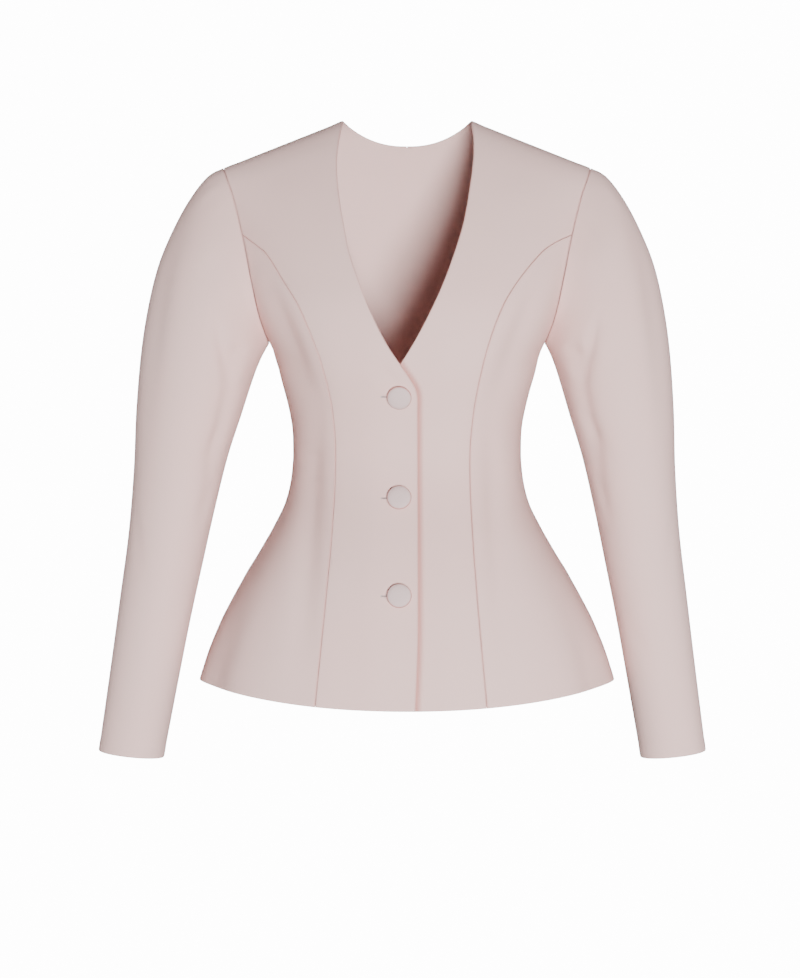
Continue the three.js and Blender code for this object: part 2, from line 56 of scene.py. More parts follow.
# Driving sizes in millimetres
WALL = 1.7
SEAM_GAP = 0.42
LAP_STEP = 1.4
NECK_HALF = 66.0
SHOULDER_HALF = 190.3
SHOULDER_DROP = 49.0
SHOULDER_SLOPE = SHOULDER_DROP / (SHOULDER_HALF - NECK_HALF)
RIDGE_HEIGHT = SHOULDER_SLOPE * NECK_HALF
UNDERARM_HEIGHT = -230.0
BACK_NECK_DROP = 22.0
NECK_ROUNDNESS = 2.3
BUTTON_RADIUS = 12.4
BUTTON_SEAT = 0.6
BUTTON_LINE = -8.0
BUTTON_HEIGHTS = {"button_top": -285.5, "button_middle": -388.5, "button_low": -485.0}
RADIANS = math.pi / 180
FULL_TURN = 2 * math.pi
CENTRE_BACK = 1.5 * math.pi

# Level sections of the body from the hem to the foot of the armhole. rise: how much higher the
# section is at its sides; half: half of its width; front and back: its depth before and behind
# the side seams; power: 2 is an ellipse and more is squarer.
LEVEL_COLUMNS = ("height", "rise", "half", "front", "back", "power")
LEVELS = (
    (-598, 20, 215, 150, 166, 2.15),
    (-560, 14, 205, 145, 160, 2.15),
    (-520, 8, 190.5, 138, 150, 2.15),
    (-480, 3, 172, 129, 135, 2.15),
    (-440, 0, 150, 116, 115, 2.15),
    (-400, 0, 128.5, 101, 94, 2.15),
    (-372, 0, 121, 93, 83, 2.15),
    (-345, 0, 118.5, 91, 78, 2.15),
    (-315, 0, 119.8, 97, 80, 2.2),
    (-285, 0, 126, 108, 86, 2.3),
    (-260, 0, 132.5, 117, 92, 2.4),
    (UNDERARM_HEIGHT, 0, 143, 122, 96.5, 2.45),
)

# Sections above it, which tilt with the shoulder. lift: the part of the way from the foot of the
# armhole (0) to the shoulder seam (1).
YOKE_COLUMNS = ("lift", "half", "front", "back", "power")
YOKE = (
    (0.156, 157.5, 119, 100, 2.45),
    (0.309, 171, 107, 98.5, 2.4),
    (0.5, 184, 88, 89, 2.4),
    (0.669, 197, 68, 73, 2.4),
    (0.809, 214, 49, 53, 2.4),
    (0.9135, 236, 32, 34, 2.4),
    (0.978, 254, 16, 17, 2.4),
    (1, 262, 0, 0, 2.4),
)

# The armhole seen from the front: how far out it lies at each height.
ARMHOLE_COLUMNS = ("height", "reach")
ARMHOLE = (
    (UNDERARM_HEIGHT, 143),
    (-204.6, 151.2),
    (-168, 159),
    (-122, 168.4),
    (-82, 178.5),
    (-62, 185.5),
    (-SHOULDER_DROP, SHOULDER_HALF),
)

# The princess seams: how far out they lie at each height.
PRINCESS_COLUMNS = ("height", "right", "left", "back")
PRINCESS = (
    (-592, 92, 79, 88),
    (-500, 83, 71, 78),
    (-420, 76, 65.6, 70),
    (-345, 73, 63.7, 66),
    (-300, 76, 67.5, 72),
    (-255, 86, 76, 83),
    (-223, 97.4, 85, 93),
    (-193, 110.5, 97, 106),
    (-168, 126, 112.5, 121),
    (-140, 144, 136, 141),
    (-130, 156, 149, 153),
    (-120, 169, 169, 169),
)

# The free edge of each front from the hem to the neck point: how far it lies to its own side.
FREE_EDGE_COLUMNS = ("height", "right", "left")
FREE_EDGE = (
    (-598, -8, -25),
    (-527, -10.6, -28),
    (-420, -10.8, -29),
    (-345, -10.6, -29),
    (-300, -10.4, -27.5),
    (-285, -10.2, -24.5),
    (-275, -7.2, -20),
    (-255, 6, -8),
    (-234, 20, 5),
    (-204, 35.1, 21),
    (-173, 47.3, 35.2),
    (-143, 57.6, 46.4),
    (-112, 64, 56),
    (-80, 69.3, 62.2),
    (-48, 71.8, 66.8),
    (-24, 70, 68),
    (0, NECK_HALF, NECK_HALF),
)

# Sections of a sleeve from the armhole to the cuff, each from its outer end to its inner end as
# seen from the front; middle: how far its centre lies towards the back; deep: half of its depth.
SLEEVE_COLUMNS = ("out_x", "out_z", "in_x", "in_z", "middle", "deep")
SLEEVE = (
    (190.3, -49, 143, UNDERARM_HEIGHT, 0, 50),
    (207, -58, 146, -235, 0, 55),
    (226, -83, 149, -241.5, -1, 61),
    (243, -115, 152, -248.5, -2, 65),
    (257, -150, 155.8, -258.5, -3, 67),
    (267, -192, 161.5, -276, -4, 67),
    (274, -240, 170, -304, -6, 64),
    (278.5, -300, 184, -349, -8, 58.5),
    (280.4, -360, 197, -404, -11, 52.5),
    (285, -425, 207.5, -454, -15, 47),
    (292.8, -490, 219.5, -512, -20, 42),
    (301.4, -560, 231, -574, -26, 38),
    (313, -650, 246, -657.5, -33, 34),
)
CUFF = len(SLEEVE) - 1

# Over how many sections a sleeve is fitted to its armhole, and about how far apart they lie.
FIT_LENGTH = 2.5
SECTION_LENGTH = 46.0

# Soft folds of the flare, each as turn, top, depth and spread. Each runs up from the hem and dies
# out at its top; turn: its place round the body in degrees; depth: how far it stands out, or
# sinks in below nought.
FLARE_BOTTOM = -590.0
FLARE_FOLDS = (
    (29, -430, -4, 8),
    (13, -470, 2.5, 7),
    (155, -440, -4, 8),
    (168, -470, 2.5, 7),
    (206, -450, -3.5, 8),
    (243, -470, -3, 10),
    (298, -460, -3, 10),
    (333, -440, -3.5, 8),
)

# Folds of both sleeves, each as the sections where it starts and ends, its turn at each in
# degrees from the outer edge towards the front, its depth, and its spread in degrees.
SLEEVE_FOLDS = (
    (1.6, 8, 30, 52, -3.5, 17),
    (3.2, 5.6, 100, 132, -3, 9),
    (2.6, 7, 325, 300, -3, 18),
    (3.4, 5.8, 248, 226, -2.5, 10),
    (2.8, 8.6, 130, 142, -3.4, 10),
    (3.2, 8.0, 226, 216, -2.6, 10),
)
FOLD_END_POWER = 1.5
CREASE_NARROWING = (1.25, 0.75)

# Finer creases of the body cloth, seen from the front or the back, each as x and z of its start,
# x and z of its end, its depth, below nought for a trough, and half of its width. The first four
# are the hollows beside the princess seams.
FRONT_CREASES = (
    (-149, -152, -88, -318, -7.0, 13),
    (-90, -262, -110, -610, -5.4, 13),
    (140, -152, 79, -318, -5.4, 13),
    (81, -262, 101, -610, -4.6, 13),
    (-31, -249, -5, -277, -0.8, 5),
    (-11, -268, -48, -252, -0.9, 4.5),
    (-16, -279, -42, -274, 0.6, 4.0),
    (16, -262, 50, -240, 0.6, 6.0),
    (-150, -232, -106, -262, -1.5, 8.0),
    (-144, -248, -110, -290, 0.9, 9.0),
    (148, -230, 110, -258, -1.6, 8.0),
    (142, -250, 104, -286, 1.0, 9.0),
    (-116, -338, -84, -352, -0.8, 7.0),
    (116, -346, 82, -358, -0.9, 7.0),
    (-114, -372, -88, -366, -0.6, 6.0),
    (114, -380, 86, -370, -0.6, 6.0),
    (-168, -120, -128, -176, -1.0, 9.0),
    (170, -116, 126, -168, -1.1, 9.0),
    (-128, -60, -104, -112, 0.7, 12.0),
    (124, -58, 100, -106, 0.7, 12.0),
)
BACK_CREASES = (
    (-150, -228, -104, -250, -1.6, 8.0),
    (148, -232, 108, -258, -1.4, 8.0),
    (-108, -336, -58, -346, -1.1, 7.0),
    (110, -340, 62, -352, -1.2, 7.0),
    (-104, -364, -66, -366, -0.8, 6.0),
    (102, -370, 60, -372, -0.7, 6.0),
    (-52, -322, -14, -334, -0.9, 8.0),
    (46, -326, 12, -338, -0.8, 8.0),
    (-160, -108, -120, -160, -1.1, 10.0),
    (162, -112, 118, -156, -1.0, 10.0),
    (-60, -48, -16, -58, 0.6, 9.0),
)

# Finer creases of the sleeves, each as section and degrees of its start, section and degrees of
# its end, its depth and half of its width in millimetres.
RIGHT_SLEEVE_CREASES = (
    (0.4, 38, 2.0, 30, 0.8, 6.0),
    (0.3, 62, 1.7, 58, -0.7, 6.0),
    (1.2, 92, 3.6, 70, -1.2, 9.0),
    (3.0, 148, 5.2, 112, -2.2, 8.0),
    (3.8, 158, 6.0, 126, 1.2, 8.0),
    (6.2, 150, 7.6, 118, -1.6, 8.0),
    (7.2, 160, 8.6, 128, -1.1, 7.0),
    (8.4, 34, 9.8, 66, -0.9, 8.0),
    (9.6, 138, 10.8, 104, -0.8, 7.0),
    (3.2, 208, 5.4, 246, -2.0, 8.0),
    (6.4, 206, 7.8, 240, -1.5, 8.0),
    (7.6, 318, 8.8, 286, -1.0, 8.0),
    (0.5, 318, 2.2, 326, 0.8, 7.0),
)
LEFT_SLEEVE_CREASES = (
    (0.4, 34, 2.2, 28, 0.7, 6.0),
    (0.4, 66, 1.9, 60, -0.8, 6.0),
    (1.4, 96, 3.8, 74, -1.0, 9.0),
    (2.8, 150, 5.0, 116, -2.4, 8.0),
    (3.7, 160, 5.8, 128, 1.3, 8.0),
    (6.0, 152, 7.3, 116, -1.8, 8.0),
    (7.0, 158, 8.4, 130, -1.0, 7.0),
    (8.6, 38, 10.0, 70, -0.8, 8.0),
    (9.9, 140, 11.0, 108, -0.7, 7.0),
    (3.4, 206, 5.6, 244, -1.8, 8.0),
    (6.6, 204, 8.0, 238, -1.6, 8.0),
    (7.4, 322, 8.6, 290, -0.9, 8.0),
    (0.5, 322, 2.0, 330, 0.8, 7.0),
)

# How the lapped fronts part: by how much, and between which heights and places each step runs.
EDGE_SPRING = 0.9
LAP_TROUGH = 0.7
LAP_HEIGHTS = (-240, -190)
LAP_STEP_PLACES = (-60, -32)
EDGE_SPRING_PLACES = (-6, 12)
STAND_PLACES = (16, 44)
LAP_TROUGH_PLACES = (12, 20)
# Painted shade beside the right front's lapped edge: how far its fade toward the neckline is shifted, and
# over what distance from the edge it fades.
LAP_SHADE_DROP = 40
LAP_SHADE_REACH = (1.5, 7)

# How strongly painted shade darkens the cloth at a seam or edge, and how far from it that fades.
SEAM_SHADE = 0.45
SEAM_SHADE_REACH = (0.4, 1.9)

# How finely the cloth is drawn, and how its edges roll in at a seam or a folded edge.
CELL = 3.4
EDGE_STEPS = (0.0, 0.16, 0.45, 0.9, 1.5, 2.4)
SHARP_ANGLE = 50 * RADIANS
RIM_MERGE = 1e-7
HALVINGS = 46
LINE_GUESSES = 40
GUESS_SHARE = 0.7
SMALL_STEP = 1e-3
SHORTEST = 1e-12


class Side(Enum):
    """A side of the jacket as its wearer names it."""

    RIGHT = "right"
    LEFT = "left"

    @property
    def sign(self) -> int:
        """The sign of x on this side."""
        return -1 if self is Side.RIGHT else 1


class Table:
    """A short table with named columns, read as smooth curves."""

    def __init__(self, columns: Sequence[str], rows: Sequence[Sequence[float]]) -> None:
        """Keeps each column under its name.

        Args:
            columns: the names of the columns, the key column first.
            rows: the rows, in the order of their keys.
        """
        values = np.array(rows, float)
        self.columns = {name: values[:, i] for i, name in enumerate(columns)}
        self.key = columns[0]

    def at(self, column: str, place: np.ndarray) -> np.ndarray:
        """Reads one column smoothly.

        Args:
            column: the column's name.
            place: the places along the key column.

        Returns:
            The values there.
        """
        keys = self.columns[self.key]
        values = self.columns[column]
        slopes = np.empty_like(values)
        slopes[1:-1] = (values[2:] - values[:-2]) / (keys[2:] - keys[:-2])
        slopes[0] = (values[1] - values[0]) / (keys[1] - keys[0])
        slopes[-1] = (values[-1] - values[-2]) / (keys[-1] - keys[-2])
        place = np.asarray(place, float)
        row = np.searchsorted(keys[1:-1], place, side="left")
        span = keys[row + 1] - keys[row]
        t = np.clip((place - keys[row]) / span, 0, 1)
        start, end = values[row], values[row + 1]
        bend = span * t * (1 - t) * ((1 - t) * slopes[row] - t * slopes[row + 1])
        return start + (end - start) * t * t * (3 - 2 * t) + bend


def smoothstep(x: np.ndarray, low: float, high: float) -> np.ndarray:
    """Runs softly from 0 at low to 1 at high."""
    t = np.clip((x - low) / (high - low), 0, 1)
    return t * t * (3 - 2 * t)


def lerp(a: Any, b: Any, t: Any) -> Any:
    """Goes from a to b by the share t."""
    return a + (b - a) * t


def bell(distance: np.ndarray) -> np.ndarray:
    """A soft round hump, 1 in its middle."""
    return np.exp(-distance * distance)


def turn_between(a: np.ndarray, b: Any) -> np.ndarray:
    """The difference of two turns in degrees, from -180 to 180."""
    return (a - b + 180) % 360 - 180


def bisect(low: np.ndarray, high: np.ndarray, is_below: Callable[[np.ndarray], np.ndarray]) -> np.ndarray:
    """Finds the places where a test turns from true to false.

    Args:
        low: places where it is true.
        high: places where it is false.
        is_below: the test.

    Returns:
        The places between them.
    """
    for _ in range(HALVINGS):
        middle = (low + high) / 2
        below = is_below(middle)
        low = np.where(below, middle, low)
        high = np.where(below, high, middle)
    return (low + high) / 2


def unit(vectors: np.ndarray) -> np.ndarray:
    """Gives each vector a length of 1."""
    return vectors / np.maximum(np.linalg.norm(vectors, axis=-1, keepdims=True), SHORTEST)


def soft_line(u: np.ndarray, v: np.ndarray, start: tuple, end: tuple, wide: float) -> np.ndarray:
    """A soft line between two places, 1 along its middle, fading to its sides and its ends.

    Args:
        u: the first coordinate of each point, in millimetres.
        v: the second one.
        start: where the line starts.
        end: where it ends.
        wide: half of its width.

    Returns:
        How strongly the line acts on each point.
    """
    along_u, along_v = end[0] - start[0], end[1] - start[1]
    length = math.hypot(along_u, along_v)
    part = ((u - start[0]) * along_u + (v - start[1]) * along_v) / length**2
    across = ((u - start[0]) * along_v - (v - start[1]) * along_u) / length
    fade = np.sin(np.pi * np.clip(part, 0, 1)) ** FOLD_END_POWER
    return fade * bell(across / wide * lerp(*CREASE_NARROWING, part))


FREE_EDGE_TABLE = Table(FREE_EDGE_COLUMNS, FREE_EDGE)


class Body:
    """The outer face of the jacket's body as one surface of turns and stations.

    A turn goes round the body in radians from the left side seam by way of the front. A station is
    the length of cloth up the front from the hem.
    """

    def __init__(self) -> None:
        """Works out the stations and the armholes from the tables."""
        levels = Table(LEVEL_COLUMNS, LEVELS).columns
        yoke = Table(YOKE_COLUMNS, YOKE).columns
        flat = np.zeros(len(LEVELS))
        still = np.zeros(len(YOKE))
        both = ("half", "front", "back", "power")
        rows = {name: np.concatenate([levels[name], yoke[name]]) for name in both}
        rows["height"] = np.concatenate([levels["height"], lerp(UNDERARM_HEIGHT, RIDGE_HEIGHT, yoke["lift"])])
        rows["slope"] = np.concatenate([flat, yoke["lift"] * SHOULDER_SLOPE])
        rows["rise"] = np.concatenate([levels["rise"], still])
        for name, values in rows.items():
            beyond = -values[-2] if name in ("front", "back") else values[-2]
            rows[name] = np.append(values, beyond)
        steps = np.hypot(np.diff(rows["height"]), np.diff(rows["front"]))
        rows["along"] = np.concatenate([[0], np.cumsum(steps)])
        names = ("along", *(name for name in rows if name != "along"))
        self.table = Table(names, np.stack([rows[name] for name in names], axis=1))
        self.underarm = float(rows["along"][len(LEVELS) - 1])
        self.ridge = float(rows["along"][-2])
        self.armhole_table = Table(ARMHOLE_COLUMNS, ARMHOLE)
        self.princess_table = Table(PRINCESS_COLUMNS, PRINCESS)

    def section(self, station: np.ndarray) -> dict[str, np.ndarray]:
        """All measures of the sections at some stations."""
        station = np.asarray(station, float)
        return {name: self.table.at(name, station) for name in self.table.columns if name != "along"}

    @staticmethod
    def fall(x: np.ndarray) -> np.ndarray:
        """How far out a place counts for the shoulder's slope, rounded between the neck points."""
        out = np.abs(x)
        return np.where(out >= NECK_HALF, out, (out * out / NECK_HALF + NECK_HALF) / 2)

    def height_on(self, section: dict[str, np.ndarray], x: np.ndarray) -> np.ndarray:
        """The height of a section at x.

        Args:
            section: the measures of the section.
            x: how far to the side.

        Returns:
            The heights there.
        """
        part = np.minimum(np.abs(x) / section["half"], 1)
        rise = section["rise"] * part ** section["power"]
        return section["height"] - section["slope"] * self.fall(x) + rise

    def station_through(self, x: np.ndarray, height: np.ndarray) -> np.ndarray:
        """The station whose section passes through a place seen from the front.

        Args:
            x: how far to the side of the middle.
            height: how high.

        Returns:
            The stations.
        """
        x, height = np.broadcast_arrays(np.asarray(x, float), np.asarray(height, float))
        low, high = np.zeros(x.shape), np.full(x.shape, self.ridge)
        return bisect(low, high, lambda station: self.height_on(self.section(station), x) < height)

    def turn_across(self, station: np.ndarray, x: np.ndarray, on_back: bool) -> np.ndarray:
        """The turn at which a section lies x to the side of the middle.

        Args:
            station: the sections' stations.
            x: how far to the side of the middle.
            on_back: whether it is on the back.

        Returns:
            The turns in radians.
        """
        section = self.section(station)
        base = np.arccos(np.clip(np.abs(x) / section["half"], 0, 1) ** (section["power"] / 2))
        front = np.where(x >= 0, base, np.pi - base)
        return 2 * np.pi - front if on_back else front

    def turn_of_line(self, station: np.ndarray, line: Callable, on_back: bool) -> np.ndarray:
        """The turn at which a section meets a line that gives x for each height.

        Args:
            station: the sections' stations.
            line: gives x for each height.
            on_back: whether it is on the back.

        Returns:
            The turns in radians.
        """
        section = self.section(station)
        x = line(section["height"])
        for _ in range(LINE_GUESSES):
            x = lerp(x, line(self.height_on(section, x)), GUESS_SHARE)
        return self.turn_across(station, x, on_back)

    def plain(self, turn: np.ndarray, station: np.ndarray) -> np.ndarray:
        """The points of the outer face with no folds.

        Args:
            turn: the turns in radians.
            station: the stations.

        Returns:
            The points in millimetres.
        """
        section = self.section(station)
        across, forward = np.cos(turn), np.sin(turn)
        depth = np.where(forward >= 0, section["front"], section["back"])
        x = section["half"] * np.sign(across) * np.abs(across) ** (2 / section["power"])
        y = -depth * np.sign(forward) * np.abs(forward) ** (2 / section["power"])
        return np.stack([x, y, self.height_on(section, x)], axis=-1)

    def spots(self, turn: np.ndarray, station: np.ndarray) -> tuple[np.ndarray, np.ndarray]:
        """The points of the outer face with the flare's folds, and the ways out of the cloth.

        Args:
            turn: the turns in radians.
            station: the stations.

        Returns:
            The points and the ways out.
        """
        turn, station = np.broadcast_arrays(np.asarray(turn, float), np.asarray(station, float))
        plain = self.plain(turn, station)
        along_turn = self.plain(turn + SMALL_STEP, station) - self.plain(turn - SMALL_STEP, station)
        along_station = self.plain(turn, station + SMALL_STEP) - self.plain(turn, station - SMALL_STEP)
        out = unit(np.cross(along_station, along_turn))
        return plain + out * self.flare_fold(turn, plain[..., 2])[..., None], out

    @staticmethod
    def flare_fold(turn: np.ndarray, height: np.ndarray) -> np.ndarray:
        """How far the flare's folds move the cloth out.

        Args:
            turn: the turns in radians.
            height: the heights.

        Returns:
            How far each point moves.
        """
        total = np.zeros_like(height)
        for place, top, depth, spread in FLARE_FOLDS:
            fade = 1 - smoothstep(height, FLARE_BOTTOM, top)
            total += depth * fade * bell(turn_between(turn / RADIANS, place) / spread)
        return total

    def armhole_reach(self, height: np.ndarray) -> np.ndarray:
        """How far out the armhole lies at a height."""
        return self.armhole_table.at("reach", height)

    def armhole_station(self, sleeve_turn: np.ndarray) -> np.ndarray:
        """The station at which the armhole has a turn of the sleeve: 0 is the shoulder point.

        Args:
            sleeve_turn: the turns of the sleeve in radians.

        Returns:
            The stations.
        """
        middle = (UNDERARM_HEIGHT - SHOULDER_DROP) / 2
        half = (-SHOULDER_DROP - UNDERARM_HEIGHT) / 2
        height = middle + half * np.cos(sleeve_turn)
        return self.station_through(self.armhole_reach(height), height)

    def armhole_turn(self, side: Side, station: np.ndarray, on_back: bool) -> np.ndarray:
        """Where the armhole, or the side seam below it, meets a section.

        Args:
            side: the side of the jacket.
            station: the stations.
            on_back: whether it is the back's.

        Returns:
            The turns in radians.
        """
        station = np.asarray(station, float)
        seam = math.pi if side is Side.RIGHT else (2 * math.pi if on_back else 0.0)
        turn = self.turn_of_line(station, lambda height: side.sign * self.armhole_reach(height), on_back)
        return np.where(station <= self.underarm + SMALL_STEP, seam, turn)

    def princess_turn(self, side: Side, station: np.ndarray, on_back: bool) -> np.ndarray:
        """Where a princess seam meets a section.

        Args:
            side: the side of the jacket.
            station: the stations.
            on_back: whether it is the back's.

        Returns:
            The turns in radians.
        """
        column = "back" if on_back else side.value

        def line(height: np.ndarray) -> np.ndarray:
            """How far out the seam lies at a height."""
            return side.sign * self.princess_table.at(column, height)

        return self.turn_of_line(station, line, on_back)

    def free_edge_turn(self, side: Side, station: np.ndarray) -> np.ndarray:
        """Where the free edge of a front meets a section."""
        return self.turn_of_line(
            station, lambda height: side.sign * FREE_EDGE_TABLE.at(side.value, height), False
        )


def lap_fade(height: np.ndarray) -> np.ndarray:
    """How fully the fronts lap at a height: not at all along the neckline."""
    return 1 - smoothstep(height, *LAP_HEIGHTS)


def right_lift(points: np.ndarray) -> np.ndarray:
    """How far the right front's lapped part stands out, springing up a little at its edge.

    Args:
        points: points of the body's surface.

    Returns:
        How far each lies out.
    """
    x = points[..., 0]
    step = LAP_STEP * smoothstep(x, *LAP_STEP_PLACES)
    spring = EDGE_SPRING * smoothstep(x, *EDGE_SPRING_PLACES)
    return lap_fade(points[..., 2]) * (step + spring)


def left_lift(points: np.ndarray) -> np.ndarray:
    """How far the left front's button stand sinks in.

    Args:
        points: points of the body's surface.

    Returns:
        How far each lies out, below nought.
    """
    x = points[..., 0]
    stand = LAP_STEP * (1 - smoothstep(x, *STAND_PLACES))
    trough = LAP_TROUGH * (1 - smoothstep(x, *LAP_TROUGH_PLACES))
    return -lap_fade(points[..., 2]) * (stand + trough)


def lap_shade(points: np.ndarray) -> np.ndarray:
    """How strongly painted shade darkens each point of the left front beside the right front's lapped edge.

    Args:
        points: points of the body's surface.

    Returns:
        The share of the full painted shade.
    """
    line = -FREE_EDGE_TABLE.at("right", points[..., 2])
    fade = lap_fade(points[..., 2] - LAP_SHADE_DROP)
    return fade * (1 - smoothstep(points[..., 0] - line, *LAP_SHADE_REACH))


def seam_painted_shade(distance: np.ndarray) -> np.ndarray:
    """How strongly painted shade darkens the cloth at a distance from a seam or edge."""
    return SEAM_SHADE * (1 - smoothstep(distance, *SEAM_SHADE_REACH))


def no_lift(points: np.ndarray) -> np.ndarray:
    """A panel that lies on the body's own surface."""
    return np.zeros(points.shape[:-1])


@dataclass(frozen=True)
class EdgeRoll:
    """How cloth rolls in at a seam or folded edge, with the allowance that lifts it beside the edge."""

    depth: float = 1.1
    wide: float = 1.7
    allowance: float = 0.3
    allowance_start: float = 8.0
    allowance_end: float = 14.0

    def drop(self, distance: np.ndarray) -> np.ndarray:
        """How far the outer face sinks at a distance from the edge.

        Args:
            distance: how far each point lies from the edge.

        Returns:
            How far each sinks, less what the allowance beneath lifts it.
        """
        near = 1 - np.clip(distance / self.wide, 0, 1)
        turned = self.depth * (1 - np.sqrt(np.clip(1 - near * near, 0, 1)))
        ridge = self.allowance * (1 - smoothstep(distance, self.allowance_start, self.allowance_end))
        return turned - ridge


def even_with_edges(length: float, cell: float) -> np.ndarray:
    """Places along a length, about a cell apart and closer together at both ends.

    Args:
        length: the whole length.
        cell: how far apart the places in the middle lie.

    Returns:
        The places from 0 to the length.
    """
    edge = np.array(EDGE_STEPS)
    count = max(2, round((length - 2 * edge[-1]) / cell))
    middle = np.linspace(edge[-1], length - edge[-1], count + 1)[1:-1]
    return np.concatenate([edge, middle, (length - edge)[::-1]])


@dataclass
class Cloth:
    """A cut piece as grids of points: its outer face, its inner face and its own flat measures."""

    name: str
    outer: np.ndarray
    inner: np.ndarray
    across: np.ndarray
    along: np.ndarray
    # How much painted shade darkens the colour at each point.
    painted_shade: np.ndarray
    is_tube: bool = False

    def build(self) -> bpy.types.Object:
        """Makes the piece's closed wall.

        Returns:
            The new object, with a UV map in metres of cloth.
        """
        rows, columns = self.outer.shape[:2]
        bm = bmesh.new()
        bmesh.ops.create_grid(bm, x_segments=columns - 1, y_segments=rows - 1, size=0.5)
        bm.verts.ensure_lookup_table()
        flat = np.array([vert.co[:2] for vert in bm.verts]) + 0.5
        column = np.rint(flat[:, 0] * (columns - 1)).astype(int)
        row = np.rint(flat[:, 1] * (rows - 1)).astype(int)
        spot = bm.verts.layers.int.new("spot")
        # Painted shade: each vertex keeps its share of the darker colour.
        painted_shade = bm.verts.layers.float.new("painted_shade")
        for vert, r, c in zip(bm.verts, row, column):
            vert[spot] = int(r) * columns + int(c)
            vert[painted_shade] = float(self.painted_shade[r, c])
            vert.co = self.inner[r, c] * MM
        uv = bm.loops.layers.uv.new("cloth")
        across, along = self.across.ravel() * MM, self.along.ravel() * MM
        for face in bm.faces:
            for loop in face.loops:
                place = loop.vert[spot]
                loop[uv].uv = (across[place], along[place])
        if self.is_tube:
            rim = [vert for vert in bm.verts if vert[spot] % columns in (0, columns - 1)]
            bmesh.ops.remove_doubles(bm, verts=rim, dist=RIM_MERGE)
        self._face_outwards(bm)
        before = list(bm.verts) + list(bm.edges) + list(bm.faces)
        made = bmesh.ops.extrude_face_region(bm, geom=before, use_keep_orig=True)["geom"]
        outer = self.outer.reshape(-1, 3)
        for item in made:
            if isinstance(item, bmesh.types.BMVert):
                item.co = outer[item[spot]] * MM
        bm.normal_update()
        for edge in bm.edges:
            edge.smooth = edge.calc_face_angle(0) < SHARP_ANGLE
        for face in bm.faces:
            face.smooth = True
        if bm.calc_volume(signed=True) < 0:
            bmesh.ops.reverse_faces(bm, faces=bm.faces)
        bm.verts.layers.int.remove(spot)
        return object_of(self.name, bm)

    def _face_outwards(self, bm: bmesh.types.BMesh) -> None:
        """Turns the sheet's faces to its outer side.

        Args:
            bm: the sheet, whose spot layer holds each vertex's place.
        """
        bm.normal_update()
        ways = unit(self.outer - self.inner).reshape(-1, 3)
        spot = bm.verts.layers.int["spot"]
        facing = sum(vert.normal.dot(Vector(ways[vert[spot]])) for vert in bm.verts)
        if facing < 0:
            bmesh.ops.reverse_faces(bm, faces=bm.faces)

    def flat_size(self) -> tuple[float, float, float]:
        """The piece's cut: its greatest width, its greatest length and its area, in metres.

        Returns:
            The width, the length and the area.
        """
        a, b = np.diff(self.outer, axis=0)[:, :-1], np.diff(self.outer, axis=1)[:-1]
        area = float(np.linalg.norm(np.cross(a, b), axis=-1).sum()) * MM * MM
        width = float(np.linalg.norm(np.diff(self.outer, axis=1), axis=-1).sum(axis=1).max()) * MM
        length = float(np.linalg.norm(np.diff(self.outer, axis=0), axis=-1).sum(axis=0).max()) * MM
        return width, length, area


